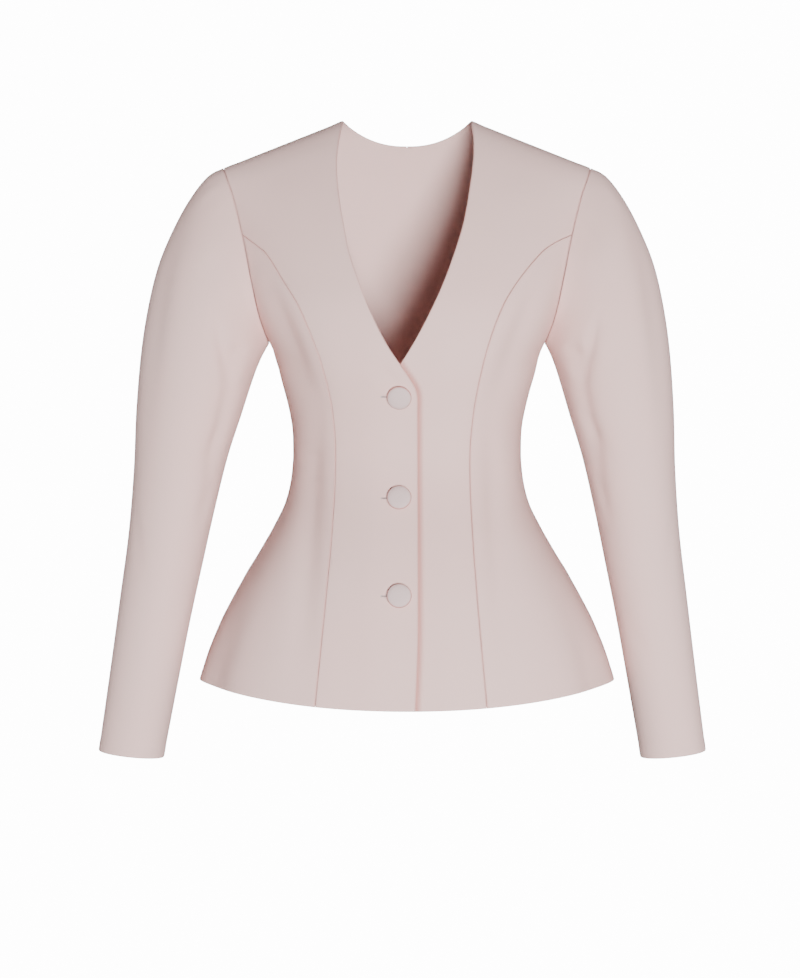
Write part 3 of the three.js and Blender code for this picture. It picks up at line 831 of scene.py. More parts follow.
@dataclass
class Bodice:
    """The eight panels of the body, which flare in one piece each from shoulder to hem."""

    body: Body
    roll: EdgeRoll = EdgeRoll()
    seam_step: float = 0.5
    steepest_seam: float = 4.0
    row_samples: int = 140
    tip_drop: float = 0.7
    princess_step_turn: float = 6 * math.pi / 14
    edge_parts: int = 4
    fewest_cells: int = 3
    neck_samples: int = 161
    pucker: float = 0.16
    pucker_place: float = 3.0
    pucker_wide: float = 4.0
    pucker_waves: tuple[float, float, float] = (6.1, 17.3, 10.7)
    pucker_shifts: tuple[float, float] = (0.8, 2.0)
    pucker_second: float = 0.5
    allowance_half: float = 10.0
    armhole_half: float = 4.5
    armhole_start: float = 2.0
    allowance_inset: float = 1.2
    allowance_clear: float = 0.15
    allowance_thick: float = 0.7
    allowance_rows: int = 8
    allowance_columns: int = 9
    princess_end: float = 4.0
    shoulder_end: float = 3.0
    neck_end: float = 1.0

    def beside(self, seam_turn: Callable, station: np.ndarray, distance: float) -> np.ndarray:
        """The turn of a seam moved sideways by a distance measured square to the seam.

        Args:
            seam_turn: the seam's turn at each station.
            station: the stations.
            distance: how far to the side.

        Returns:
            The turns in radians.
        """
        low = np.maximum(station - self.seam_step, 0)
        high = np.minimum(station + self.seam_step, self.body.ridge)
        middle = (low + high) / 2
        apart = self.body.plain(seam_turn(high), middle) - self.body.plain(seam_turn(low), middle)
        stretch = np.hypot(1, np.linalg.norm(apart, axis=-1) / (high - low))
        turn = seam_turn(station)
        near = self.body.plain(turn + SMALL_STEP, station) - self.body.plain(turn - SMALL_STEP, station)
        moved = distance * np.minimum(stretch, self.steepest_seam)
        return turn + moved * 2 * SMALL_STEP / np.linalg.norm(near, axis=-1)

    def panel(
        self,
        name: str,
        edges: tuple[Callable, Callable],
        top: float,
        lift: Callable = no_lift,
        bend: Callable | None = None,
        stop: float | None = None,
        has_top_edge: bool = True,
    ) -> Cloth:
        """Works out one panel between two edges.

        Args:
            name: the piece's name.
            edges: the turns of its two edges at each station.
            top: the station of its top row.
            lift: how far it stands out of the body's surface.
            bend: the station that a row has at each part of its width.
            stop: a part of its width that gets a column of its own.
            has_top_edge: whether its top row rolls in as an edge.

        Returns:
            The panel's grids.
        """
        rows = even_with_edges(top, CELL)
        start = self.beside(edges[0], rows, SEAM_GAP / 2)
        end = self.beside(edges[1], rows, -SEAM_GAP / 2)
        sample = (1 - np.cos(np.linspace(0, np.pi, self.row_samples))) / 2
        turns = lerp(start[:, None], end[:, None], sample)
        line = self.body.plain(turns, rows[:, None])
        steps = np.linalg.norm(np.diff(line, axis=1), axis=-1)
        reach = np.concatenate([np.zeros((len(rows), 1)), np.cumsum(steps, axis=1)], axis=1)
        widths = reach[:, -1]
        edge = np.array(EDGE_STEPS)
        inner = max(self.fewest_cells, round(float(widths.max()) / CELL))
        middle = np.linspace(0, 1, inner + 1)[1:-1]
        if stop is not None:
            share = max(1, round(inner * stop))
            before = np.linspace(0, stop, share + 1)[1:]
            middle = np.concatenate([before, np.linspace(stop, 1, inner - share + 1)[1:-1]])
        parts = []
        for row, width in enumerate(widths):
            near = edge * min(1, width / (self.edge_parts * edge[-1]))
            own = np.interp(middle, sample, reach[row]) if stop is not None else middle * width
            own = np.clip(own, near[-1], width - near[-1])
            places = np.concatenate([near, own, (width - near)[::-1]])
            parts.append(np.interp(places, reach[row], sample))
        part = np.array(parts)
        station = np.repeat(rows[:, None], part.shape[1], axis=1)
        if bend is not None:
            station = bend(station, part)
        turn = lerp(start[:, None], end[:, None], part)
        points, out = self.body.spots(turn, station)
        across = cumulative(points, 1)
        along = cumulative(points, 0)
        from_edge = np.minimum(across, across[:, -1:] - across)
        from_end = np.minimum(along, along[-1:] - along) if has_top_edge else along
        drop = np.maximum(self.roll.drop(from_edge), self.roll.drop(from_end))
        raise_by = lift(points) + self.creases(points) + self.puckers(from_edge, along)
        base = points + out * raise_by[..., None]
        outer = base - out * drop[..., None]
        # Painted shade along the seams and edges, and on the left front beside the lapped edge.
        painted_shade = seam_painted_shade(from_edge)
        if name == "front_left":
            painted_shade = np.maximum(painted_shade, lap_shade(points))
        return Cloth(name, outer, base - out * WALL, across, along, painted_shade)

    def puckers(self, distance: np.ndarray, along: np.ndarray) -> np.ndarray:
        """Slight waves where a long seam draws the cloth in.

        Args:
            distance: how far each point lies from the seam.
            along: how far along the seam it lies.

        Returns:
            How far each point moves out.
        """
        short, slow, second = self.pucker_waves
        shift, second_shift = self.pucker_shifts
        wave = np.sin(along / short) * np.sin(along / slow + shift)
        wave = wave + self.pucker_second * np.sin(along / second + second_shift)
        return self.pucker * wave * bell((distance - self.pucker_place) / self.pucker_wide)

    @staticmethod
    def creases(points: np.ndarray) -> np.ndarray:
        """How far the finer creases move the cloth out.

        Args:
            points: points of the body's surface.

        Returns:
            How far each point moves.
        """
        x, y, z = points[..., 0], points[..., 1], points[..., 2]
        total = np.zeros_like(x)
        for rows, is_here in ((FRONT_CREASES, y < 0), (BACK_CREASES, y >= 0)):
            for u, v, to_u, to_v, depth, wide in rows:
                total += np.where(is_here, depth * soft_line(x, z, (u, v), (to_u, to_v), wide), 0)
        return total

    def front(self, side: Side) -> Cloth:
        """A front, from its free edge to the princess seam and the armhole.

        Args:
            side: the side of the jacket.

        Returns:
            The front's grids.
        """

        def outer_edge(station: np.ndarray) -> np.ndarray:
            """The turn of the outer edge."""
            return self.outer_edge(side, station, False)

        def free_edge(station: np.ndarray) -> np.ndarray:
            """The turn of the free edge."""
            return self.body.free_edge_turn(side, station)

        is_right = side is Side.RIGHT
        edges = (free_edge, outer_edge) if is_right else (outer_edge, free_edge)
        top = self.body.ridge - SEAM_GAP / 2
        return self.panel(f"front_{side.value}", edges, top, right_lift if is_right else left_lift)

    @property
    def princess_top(self) -> float:
        """The station at which the princess seams run into the armholes."""
        return float(self.body.armhole_station(np.array(self.princess_step_turn)))

    def outer_edge(self, side: Side, station: np.ndarray, on_back: bool) -> np.ndarray:
        """The outer edge of a front or back: the princess seam, then the armhole.

        Args:
            side: the side of the jacket.
            station: the stations.
            on_back: whether it is the back's.

        Returns:
            The turns in radians.
        """
        seam = self.body.princess_turn(side, station, on_back)
        armhole = self.body.armhole_turn(side, station, on_back)
        return np.where(station >= self.princess_top - SMALL_STEP, armhole, seam)

    def side_panel(self, side: Side, on_back: bool) -> Cloth:
        """A side panel between a princess seam and the side seam or armhole.

        Args:
            side: the side of the jacket.
            on_back: whether it is the side back.

        Returns:
            The panel's grids.
        """

        def princess(station: np.ndarray) -> np.ndarray:
            """The turn of the princess seam."""
            return self.body.princess_turn(side, station, on_back)

        def armhole(station: np.ndarray) -> np.ndarray:
            """The turn of the side seam, then of the armhole."""
            return self.body.armhole_turn(side, station, on_back)

        princess_first = (side is Side.RIGHT) != on_back
        edges = (princess, armhole) if princess_first else (armhole, princess)
        name = f"side_{'back' if on_back else 'front'}_{side.value}"
        return self.panel(name, edges, self.princess_top - self.tip_drop, has_top_edge=False)

    def back(self, side: Side) -> Cloth:
        """A back, whose rows inside the neck point sink to the neckline.

        Args:
            side: the side of the jacket.

        Returns:
            The back's grids.
        """
        shoulder = float(self.outer_edge(side, np.array(self.body.ridge), True))
        neck = float(self.body.turn_across(np.array(self.body.ridge), np.array(side.sign * NECK_HALF), True))
        neck_part = (neck - shoulder) / (CENTRE_BACK - shoulder)
        known = np.linspace(0, 1, self.neck_samples)
        turns = lerp(shoulder, CENTRE_BACK, known)

        def is_below_neckline(station: np.ndarray) -> np.ndarray:
            """Whether each part of the width lies below the neckline."""
            points = self.body.plain(turns, station)
            inside = np.clip(np.abs(points[:, 0]) / NECK_HALF, 0, 1)
            return points[:, 2] < -BACK_NECK_DROP * (1 - inside**NECK_ROUNDNESS)

        low = np.full(known.shape, self.body.underarm)
        neckline = bisect(low, np.full(known.shape, self.body.ridge), is_below_neckline)
        tops = np.where(known <= neck_part, self.body.ridge, neckline)
        sinks = (tops - self.body.underarm) / (self.body.ridge - self.body.underarm)
        is_right = side is Side.RIGHT

        def bend(station: np.ndarray, part: np.ndarray) -> np.ndarray:
            """The stations of the rows, sunk to the neckline."""
            own = part if is_right else 1 - part
            above = np.maximum(station - self.body.underarm, 0)
            return np.minimum(station, self.body.underarm) + above * np.interp(own, known, sinks)

        def outer_edge(station: np.ndarray) -> np.ndarray:
            """The turn of the outer edge."""
            return self.outer_edge(side, station, True)

        def centre(station: np.ndarray) -> np.ndarray:
            """The turn of the centre back."""
            return np.full(np.shape(station), CENTRE_BACK)

        edges = (outer_edge, centre) if is_right else (centre, outer_edge)
        stop = neck_part if is_right else 1 - neck_part
        return self.panel(f"back_{side.value}", edges, self.body.ridge - SEAM_GAP / 2, bend=bend, stop=stop)

    def allowance(self, name: str, seam: Callable, start: float, top: float, half: float) -> Cloth:
        """The seam allowances pressed open behind one seam.

        Args:
            name: the piece's name.
            seam: the seam's turn at each station.
            start: the station of its lower end.
            top: the station of its upper end.
            half: half of its width.

        Returns:
            The strip's grids.
        """
        rows = np.linspace(start, top, max(self.allowance_rows, round((top - start) / CELL)))
        places = np.linspace(-half, half, self.allowance_columns)
        turn = np.stack([self.beside(seam, rows, place) for place in places], axis=1)
        station = np.repeat(rows[:, None], len(places), axis=1)
        points, out = self.body.spots(turn, station)
        across, along = cumulative(points, 1), cumulative(points, 0)
        outer = points + out * (self.creases(points)[..., None] - WALL - self.allowance_clear)
        inner = outer - out * self.allowance_thick
        return Cloth(name, outer, inner, across, along, np.zeros(across.shape))

    def allowances(self) -> list[Cloth]:
        """The pressed allowances of the armholes and of the seams that run down the body.

        Returns:
            The strips' grids.
        """
        strips = []
        side_top = self.body.underarm - 2 * self.tip_drop
        low, half = self.allowance_inset, self.allowance_half
        for side in Side:
            for on_back in (False, True):
                def princess(station: np.ndarray) -> np.ndarray:
                    """The turn of the princess seam."""
                    return self.body.princess_turn(side, station, on_back)

                place = "back" if on_back else "front"
                name = f"allowance_{place}_{side.value}"
                top = self.princess_top - self.princess_end
                strips.append(self.allowance(name, princess, low, top, half))

                def armhole(station: np.ndarray) -> np.ndarray:
                    """The turn of the armhole."""
                    return self.body.armhole_turn(side, station, on_back)

                name = f"allowance_armhole_{place}_{side.value}"
                start = self.body.underarm + self.armhole_start
                top = self.body.ridge - self.shoulder_end
                strips.append(self.allowance(name, armhole, start, top, self.armhole_half))

            def side_seam(station: np.ndarray) -> np.ndarray:
                """The turn of the side seam."""
                return self.body.armhole_turn(side, station, False)

            strips.append(self.allowance(f"allowance_side_{side.value}", side_seam, low, side_top, half))

        def centre(station: np.ndarray) -> np.ndarray:
            """The turn of the centre back."""
            return np.full(np.shape(station), CENTRE_BACK)

        def is_below_neckline(station: np.ndarray) -> np.ndarray:
            """Whether the centre back lies below the neckline."""
            return self.body.plain(np.array(CENTRE_BACK), station)[2] < -BACK_NECK_DROP

        ends = np.array(self.body.underarm), np.array(self.body.ridge)
        top = float(bisect(*ends, is_below_neckline)) - self.neck_end
        strips.append(self.allowance("allowance_centre_back", centre, low, top, half))
        return strips

    def cut(self) -> list[Cloth]:
        """All panels, side by side.

        Returns:
            The panels' grids.
        """
        pieces = []
        for side in Side:
            pieces += [self.front(side), self.side_panel(side, False)]
            pieces += [self.side_panel(side, True), self.back(side)]
        return pieces


def cumulative(points: np.ndarray, axis: int) -> np.ndarray:
    """The length of cloth from the first row or column to each point.

    Args:
        points: a grid of points.
        axis: the axis along which the length runs.

    Returns:
        The lengths.
    """
    steps = np.linalg.norm(np.diff(points, axis=axis), axis=-1)
    start = np.zeros_like(np.take(steps, [0], axis=axis))
    return np.concatenate([start, np.cumsum(steps, axis=axis)], axis=axis)


@dataclass
class Sleeves:
    """The two long sleeves, full at the head and narrow at the cuff."""

    body: Body
    roll: EdgeRoll = EdgeRoll()
    columns: int = 112
    ring_samples: int = 720
    spine_samples: int = 900
    right_swing: float = 5.0
    left_swing: float = -5.0
    step: float = 2e-3

    def cut(self) -> list[Cloth]:
        """Both sleeves."""
        return [self.sleeve(side) for side in Side]

    def armhole_ring(self, side: Side) -> np.ndarray:
        """The armhole's edge of the panels at even turns of the sleeve.

        Args:
            side: the side of the jacket.

        Returns:
            The ring's points.
        """
        turn = np.arange(self.ring_samples) * FULL_TURN / self.ring_samples
        on_back = turn > math.pi
        station = self.body.armhole_station(np.where(on_back, FULL_TURN - turn, turn))
        front, _ = self.body.spots(self.body.armhole_turn(side, station, False), station)
        back, _ = self.body.spots(self.body.armhole_turn(side, station, True), station)
        return np.where(on_back[:, None], back, front)

    def section_point(self, side: Side, turn: np.ndarray, at: np.ndarray) -> np.ndarray:
        """A point of a sleeve section before it is fitted to the armhole.

        Args:
            side: the side of the jacket.
            turn: the turns in radians.
            at: the section numbers.

        Returns:
            The points in millimetres.
        """
        table = Table(("at", *SLEEVE_COLUMNS), [(i, *row) for i, row in enumerate(SLEEVE)])
        value = {name: table.at(name, at) for name in SLEEVE_COLUMNS}
        full_swing = self.right_swing if side is Side.RIGHT else self.left_swing
        swing = full_swing * (value["out_z"] + SHOULDER_DROP) / (SLEEVE[CUFF][1] + SHOULDER_DROP)
        part = (1 + np.cos(turn)) / 2
        x = lerp(value["in_x"], value["out_x"], part) + swing
        z = lerp(value["in_z"], value["out_z"], part)
        y = value["middle"] - value["deep"] * np.sin(turn)
        return np.stack(np.broadcast_arrays(side.sign * x, y, z), axis=-1)

    def plain(self, side: Side, ring: np.ndarray, turn: np.ndarray, at: np.ndarray) -> np.ndarray:
        """The sleeve's surface with no folds, fitted to the armhole.

        Args:
            side: the side of the jacket.
            ring: the armhole's ring.
            turn: the turns in radians.
            at: the section numbers.

        Returns:
            The points in millimetres.
        """
        turn, at = np.broadcast_arrays(turn, at)
        samples = np.arange(self.ring_samples + 1) * FULL_TURN / self.ring_samples
        closed = np.concatenate([ring, ring[:1]])
        whole = np.mod(turn, FULL_TURN)
        edge = np.stack([np.interp(whole, samples, closed[:, axis]) for axis in range(3)], axis=-1)
        fit = edge - self.section_point(side, whole, np.zeros_like(at))
        return self.section_point(side, turn, at) + fit * (1 - smoothstep(at, 0, FIT_LENGTH))[..., None]

    def sleeve(self, side: Side) -> Cloth:
        """One sleeve as a tube from the armhole to the cuff.

        Args:
            side: the side of the jacket.

        Returns:
            The sleeve's grids.
        """
        ring = self.armhole_ring(side)
        turn = (np.arange(self.columns + 1) * FULL_TURN / self.columns)[None, :]
        fine = np.linspace(0, CUFF, self.spine_samples)
        spine = self.plain(side, ring, np.array([0.0, 0.5, 1.0, 1.5])[None, :] * math.pi, fine[:, None])
        steps = np.linalg.norm(np.diff(spine, axis=0), axis=-1).mean(axis=1)
        lengths = np.concatenate([[0], np.cumsum(steps)])
        rows = even_with_edges(float(lengths[-1]), CELL)
        rows[0] = SEAM_GAP
        at = np.interp(rows, lengths, fine)[:, None]
        points = self.plain(side, ring, turn, at)
        inside_at = np.clip(at, self.step, CUFF - self.step)
        ahead = self.plain(side, ring, turn, inside_at + self.step)
        behind = self.plain(side, ring, turn, inside_at - self.step)
        before = self.plain(side, ring, turn - self.step, inside_at)
        after = self.plain(side, ring, turn + self.step, inside_at)
        out = unit(np.cross(ahead - behind, after - before)) * -side.sign
        across = cumulative(points, 1)
        along = cumulative(points, 0)
        fold = self.folds(turn, at) + self.creases(side, turn, at, across)
        base = points + out * fold[..., None]
        drop = self.roll.drop(np.minimum(along, along[-1:] - along))
        outer = base - out * drop[..., None]
        # Painted shade along the armhole seam and at the cuff.
        painted_shade = seam_painted_shade(along)
        return Cloth(f"sleeve_{side.value}", outer, base - out * WALL, across, along, painted_shade, is_tube=True)

    @staticmethod
    def folds(turn: np.ndarray, at: np.ndarray) -> np.ndarray:
        """How far the large folds move the cloth out.

        Args:
            turn: the turns in radians.
            at: the section numbers.

        Returns:
            How far each point moves.
        """
        turn, at = np.broadcast_arrays(turn, at)
        total = np.zeros_like(at)
        for start, to, place, to_place, depth, spread in SLEEVE_FOLDS:
            part = np.clip((at - start) / (to - start), 0, 1)
            fade = np.sin(np.pi * part) ** FOLD_END_POWER
            centre = lerp(place, to_place, part)
            total += depth * fade * bell(turn_between(turn / RADIANS, centre) / spread)
        return total

    @staticmethod
    def creases(side: Side, turn: np.ndarray, at: np.ndarray, across: np.ndarray) -> np.ndarray:
        """How far the finer creases move the cloth out.

        Args:
            side: the side of the jacket.
            turn: the turns in radians.
            at: the section numbers.
            across: the length of cloth round to each point.

        Returns:
            How far each point moves.
        """
        turn, at = np.broadcast_arrays(turn, at)
        around = across[:, -1:] / 360
        per_degree = float(around.mean())
        total = np.zeros_like(at)
        rows = RIGHT_SLEEVE_CREASES if side is Side.RIGHT else LEFT_SLEEVE_CREASES
        for start_at, start_turn, to_at, to_turn, depth, wide in rows:
            middle = (start_turn + to_turn) / 2
            u = turn_between(turn / RADIANS, middle) * around
            start = ((start_turn - middle) * per_degree, start_at * SECTION_LENGTH)
            end = ((to_turn - middle) * per_degree, to_at * SECTION_LENGTH)
            total += depth * soft_line(u, at * SECTION_LENGTH, start, end, wide)
        return total


@dataclass
class Buttons:
    """Three domed buttons covered in the jacket's cloth, drawn in round the back of each rim."""

    body: Body
    radius: float = BUTTON_RADIUS
    rim_height: float = 2.5
    dome_height: float = 4.5
    flatness: float = 0.72
    arc_steps: int = 14
    spin_steps: int = 96
    gathers: int = 22
    gather_depth: float = 0.22
    gather_start: float = 0.3
    slow_gathers: int = 3
    slow_share: float = 0.4
    # Painted shade round the rim: the shares of the radius where it starts and where it is full.
    rim_shade_start: float = 0.9
    rim_shade_end: float = 0.975
    merge: float = 1e-4
    back_profile: tuple[tuple[float, float], ...] = (
        (0.0, 0.0),
        (0.2, 0.0),
        (0.24, 0.12),
        (0.24, 0.9),
        (0.3, 1.05),
        (0.6, 1.12),
        (0.84, 1.2),
        (0.94, 1.55),
        (0.985, 2.0),
    )

    def profile(self) -> list[tuple[float, float]]:
        """The section from the middle of the back round the rim to the middle of the dome.

        Returns:
            Places outwards and upwards, in millimetres.
        """
        dome = []
        for i in range(self.arc_steps + 1):
            angle = i / self.arc_steps * math.pi / 2
            across = max(math.cos(angle), 0.0) ** self.flatness
            dome.append((across, self.rim_height + self.dome_height * math.sin(angle)))
        return [(across * self.radius, up) for across, up in (*self.back_profile, *dome)]

    def build(self, name: str, height: float) -> bpy.types.Object:
        """Makes one button in its place.

        Args:
            name: the button's name.
            height: the height of its middle.

        Returns:
            The new object.
        """
        bm = bmesh.new()
        painted_shade = bm.verts.layers.float.new("painted_shade")
        points = self.profile()
        verts = [bm.verts.new((across, 0, up)) for across, up in points]
        edges = [bm.edges.new(pair) for pair in zip(verts, verts[1:])]
        bmesh.ops.spin(
            bm,
            geom=verts + edges,
            cent=(0, 0, 0),
            axis=(0, 0, 1),
            angle=FULL_TURN,
            steps=self.spin_steps,
            use_merge=True,
        )
        bmesh.ops.remove_doubles(bm, verts=bm.verts, dist=self.merge)
        for vert in bm.verts:
            across = math.hypot(vert.co.x, vert.co.y)
            # Painted shade: a thin dark ring at the rim, where the button meets the cloth.
            out_share = np.array(across / self.radius)
            vert[painted_shade] = float(smoothstep(out_share, self.rim_shade_start, self.rim_shade_end))
            if across > self.gather_start * self.radius and vert.co.z < self.rim_height:
                angle = math.atan2(vert.co.y, vert.co.x)
                wave = math.sin(self.gathers * angle)
                wave += self.slow_share * math.sin(self.slow_gathers * angle + 1)
                vert.co.z += self.gather_depth * wave * (1 - vert.co.z / self.rim_height)
        bmesh.ops.recalc_face_normals(bm, faces=bm.faces)
        if bm.calc_volume(signed=True) < 0:
            bmesh.ops.reverse_faces(bm, faces=bm.faces)
        spot, out = right_front_spot(self.body, BUTTON_LINE, height)
        seat = (spot + out * BUTTON_SEAT) * MM
        turn = Vector((0, 0, 1)).rotation_difference(Vector(out))
        for vert in bm.verts:
            vert.co = turn @ (vert.co * MM) + Vector(seat)
        for face in bm.faces:
            face.smooth = True
        return object_of(name, bm)


def right_front_spot(body: Body, x: Any, height: Any) -> tuple[np.ndarray, np.ndarray]:
    """Points of the right front's outer face and the ways out of it.

    Args:
        body: the jacket's body.
        x: how far to the side of the middle.
        height: how high.

    Returns:
        The points and the ways out.
    """
    x, height = np.asarray(x, float), np.asarray(height, float)
    station = body.station_through(x, height)
    points, out = body.spots(body.turn_across(station, x, False), station)
    return points + out * right_lift(points)[..., None], out


def object_of(name: str, bm: bmesh.types.BMesh) -> bpy.types.Object:
    """Puts a finished bmesh into a new object at the origin.

    Args:
        name: the object's name.
        bm: the bmesh, which is freed.

    Returns:
        The new object.
    """
    mesh = bpy.data.meshes.new(name)
    bm.to_mesh(mesh)
    bm.free()
    piece = bpy.data.objects.new(name, mesh)
    bpy.context.scene.collection.objects.link(piece)
    return piece


@dataclass
class Buttonholes:
    """The worked buttonholes of the right front, which reach a little past the buttons."""

    body: Body
    far_end: float = -25.6
    near_end: float = -4.0
    half_width: float = 0.62
    stitch_gap: float = 0.55
    stitch_long: float = 0.6
    stitch_thick: float = 0.3
    slit_half: float = 0.24
    slit_steps: int = 24
    slit_thick: float = 0.15
    slit_stand: float = 0.1
    stitch_stand: float = 0.12
    end_stitches: int = 4

    def outline(self) -> list[tuple[float, float, float]]:
        """Places round the hole: across, up, and the angle of a stitch there.

        Returns:
            The places.
        """
        straight = self.near_end - self.far_end
        count = round(straight / self.stitch_gap)
        places = []
        for i in range(count + 1):
            x = lerp(self.far_end, self.near_end, i / count)
            places += [(x, self.half_width, 0.0), (x, -self.half_width, 0.0)]
        for i in range(1, self.end_stitches + 1):
            angle = math.pi / 2 + i * math.pi / (self.end_stitches + 1)
            up, back = math.sin(angle) * self.half_width, math.cos(angle) * self.half_width
            places += [(self.far_end + back, up, angle - math.pi / 2)]
            places += [(self.near_end - back, up, math.pi / 2 - angle)]
        return places

    def build_stitches(self, name: str, height: float) -> bpy.types.Object:
        """Makes the close stitches round one hole.

        Args:
            name: the piece's name.
            height: the height of the hole.

        Returns:
            The new object.
        """
        places = self.outline()
        x = np.array([place[0] for place in places])
        up = np.array([place[1] for place in places])
        spots, outs = right_front_spot(self.body, x, height + up)
        bm = bmesh.new()
        for (_, _, angle), spot, out in zip(places, spots, outs):
            made = bmesh.ops.create_icosphere(bm, subdivisions=2, radius=1.0)["verts"]
            face_out = Vector((0, 0, 1)).rotation_difference(Vector(out))
            spin = Quaternion((0, 0, 1), angle)
            for vert in made:
                thick = self.stitch_thick
                size = Vector((vert.co.x * thick, vert.co.y * self.stitch_long, vert.co.z * thick))
                flat = spin @ size
                standing = face_out @ flat
                vert.co = (standing + Vector(spot) + Vector(out) * self.stitch_stand) * MM
        for face in bm.faces:
            face.smooth = True
        return object_of(name, bm)

    def build_slit(self, name: str, height: float) -> bpy.types.Object:
        """Makes a dark strip of painted shadow in the opening between the stitches of one hole.

        Args:
            name: the piece's name.
            height: the height of the hole.

        Returns:
            The new object.
        """
        bm = bmesh.new()
        bmesh.ops.create_grid(bm, x_segments=self.slit_steps, y_segments=2, size=0.5)
        flat = np.array([vert.co[:] for vert in bm.verts])
        x = lerp(self.far_end, self.near_end, flat[:, 0] + 0.5)
        up = flat[:, 1] * 2 * self.slit_half
        spots, outs = right_front_spot(self.body, x, height + up)
        for vert, spot, out in zip(bm.verts, spots, outs):
            vert.co = (Vector(spot) + Vector(out) * self.slit_stand) * MM
        bm.normal_update()
        if sum(face.normal.y for face in bm.faces) > 0:
            bmesh.ops.reverse_faces(bm, faces=bm.faces)
        bmesh.ops.solidify(bm, geom=bm.faces[:], thickness=-self.slit_thick * MM)
        if bm.calc_volume(signed=True) < 0:
            bmesh.ops.reverse_faces(bm, faces=bm.faces)
        return object_of(name, bm)


class Sock:
    """An output socket whose sums and products are written as Python expressions."""

    def __init__(self, tree: "ShaderTree", socket: bpy.types.NodeSocket) -> None:
        """Keeps the socket and the tree it belongs to.

        Args:
            tree: the tree that new nodes go to.
            socket: the output socket.
        """
        self.tree = tree
        self.socket = socket

    def _math(self, operation: str, first: Any, second: Any) -> "Sock":
        """Adds a Math node on two values."""
        node = self.tree.node("ShaderNodeMath", {"operation": operation}, {0: first, 1: second})
        return self.tree.out(node, 0)

    def __add__(self, other: Any) -> "Sock":
        """self + other."""
        return self._math("ADD", self, other)

    def __radd__(self, other: Any) -> "Sock":
        """other + self."""
        return self._math("ADD", other, self)

    def __sub__(self, other: Any) -> "Sock":
        """self - other."""
        return self._math("SUBTRACT", self, other)

    def __rsub__(self, other: Any) -> "Sock":
        """other - self."""
        return self._math("SUBTRACT", other, self)

    def __mul__(self, other: Any) -> "Sock":
        """self * other."""
        return self._math("MULTIPLY", self, other)

    def __rmul__(self, other: Any) -> "Sock":
        """other * self."""
        return self._math("MULTIPLY", other, self)

    def sine(self) -> "Sock":
        """The sine of the value."""
        node = self.tree.node("ShaderNodeMath", {"operation": "SINE"}, {0: self})
        return self.tree.out(node, 0)


class ShaderTree:
    """The node tree of one material."""

    def __init__(self, name: str) -> None:
        """Starts an empty material with one Principled shader.

        Args:
            name: the material's name.
        """
        self.material = bpy.data.materials.new(name)
        self.material.use_nodes = True
        self.tree = self.material.node_tree
        self.tree.nodes.clear()
        self.shader = self.node("ShaderNodeBsdfPrincipled")
        self.node("ShaderNodeOutputMaterial", inputs={"Surface": self.out(self.shader, "BSDF")})

    def node(self, kind: str, settings: dict | None = None, inputs: dict | None = None) -> bpy.types.Node:
        """Adds a node, sets it up, then fills its sockets.

        Args:
            kind: the node's type.
            settings: the node's own settings.
            inputs: values or links for its sockets.

        Returns:
            The new node.
        """
        node = self.tree.nodes.new(kind)
        for key, value in (settings or {}).items():
            setattr(node, key, value)
        self.fill(node, inputs or {})
        return node

    def fill(self, node: bpy.types.Node, inputs: dict) -> None:
        """Gives a node's sockets their values or links."""
        for key, value in inputs.items():
            socket = node.inputs[key]
            if isinstance(value, Sock):
                self.tree.links.new(value.socket, socket)
            else:
                socket.default_value = value

    def out(self, node: bpy.types.Node, key: Any) -> Sock:
        """One output of a node."""
        return Sock(self, node.outputs[key])

    def noise(self, place: Sock, scale: float, detail: float, roughness: float = 0.55) -> Sock:
        """Soft noise at a place."""
        inputs = {"Vector": place, "Scale": scale, "Detail": detail, "Roughness": roughness}
        return self.out(self.node("ShaderNodeTexNoise", {"noise_dimensions": "3D"}, inputs), 0)

    def mix(self, factor: Any, first: Any, second: Any) -> Sock:
        """Mixes two colours.

        Args:
            factor: how much of the second colour shows.
            first: the first colour.
            second: the second colour.

        Returns:
            The mixed colour.
        """
        node = self.node("ShaderNodeMix", {"data_type": "RGBA"})
        self.fill(node, {0: factor, 6: first, 7: second})
        return self.out(node, 2)


def rgba(red: float, green: float, blue: float) -> tuple[float, float, float, float]:
    """A linear colour with full alpha."""
    return (red, green, blue, 1.0)


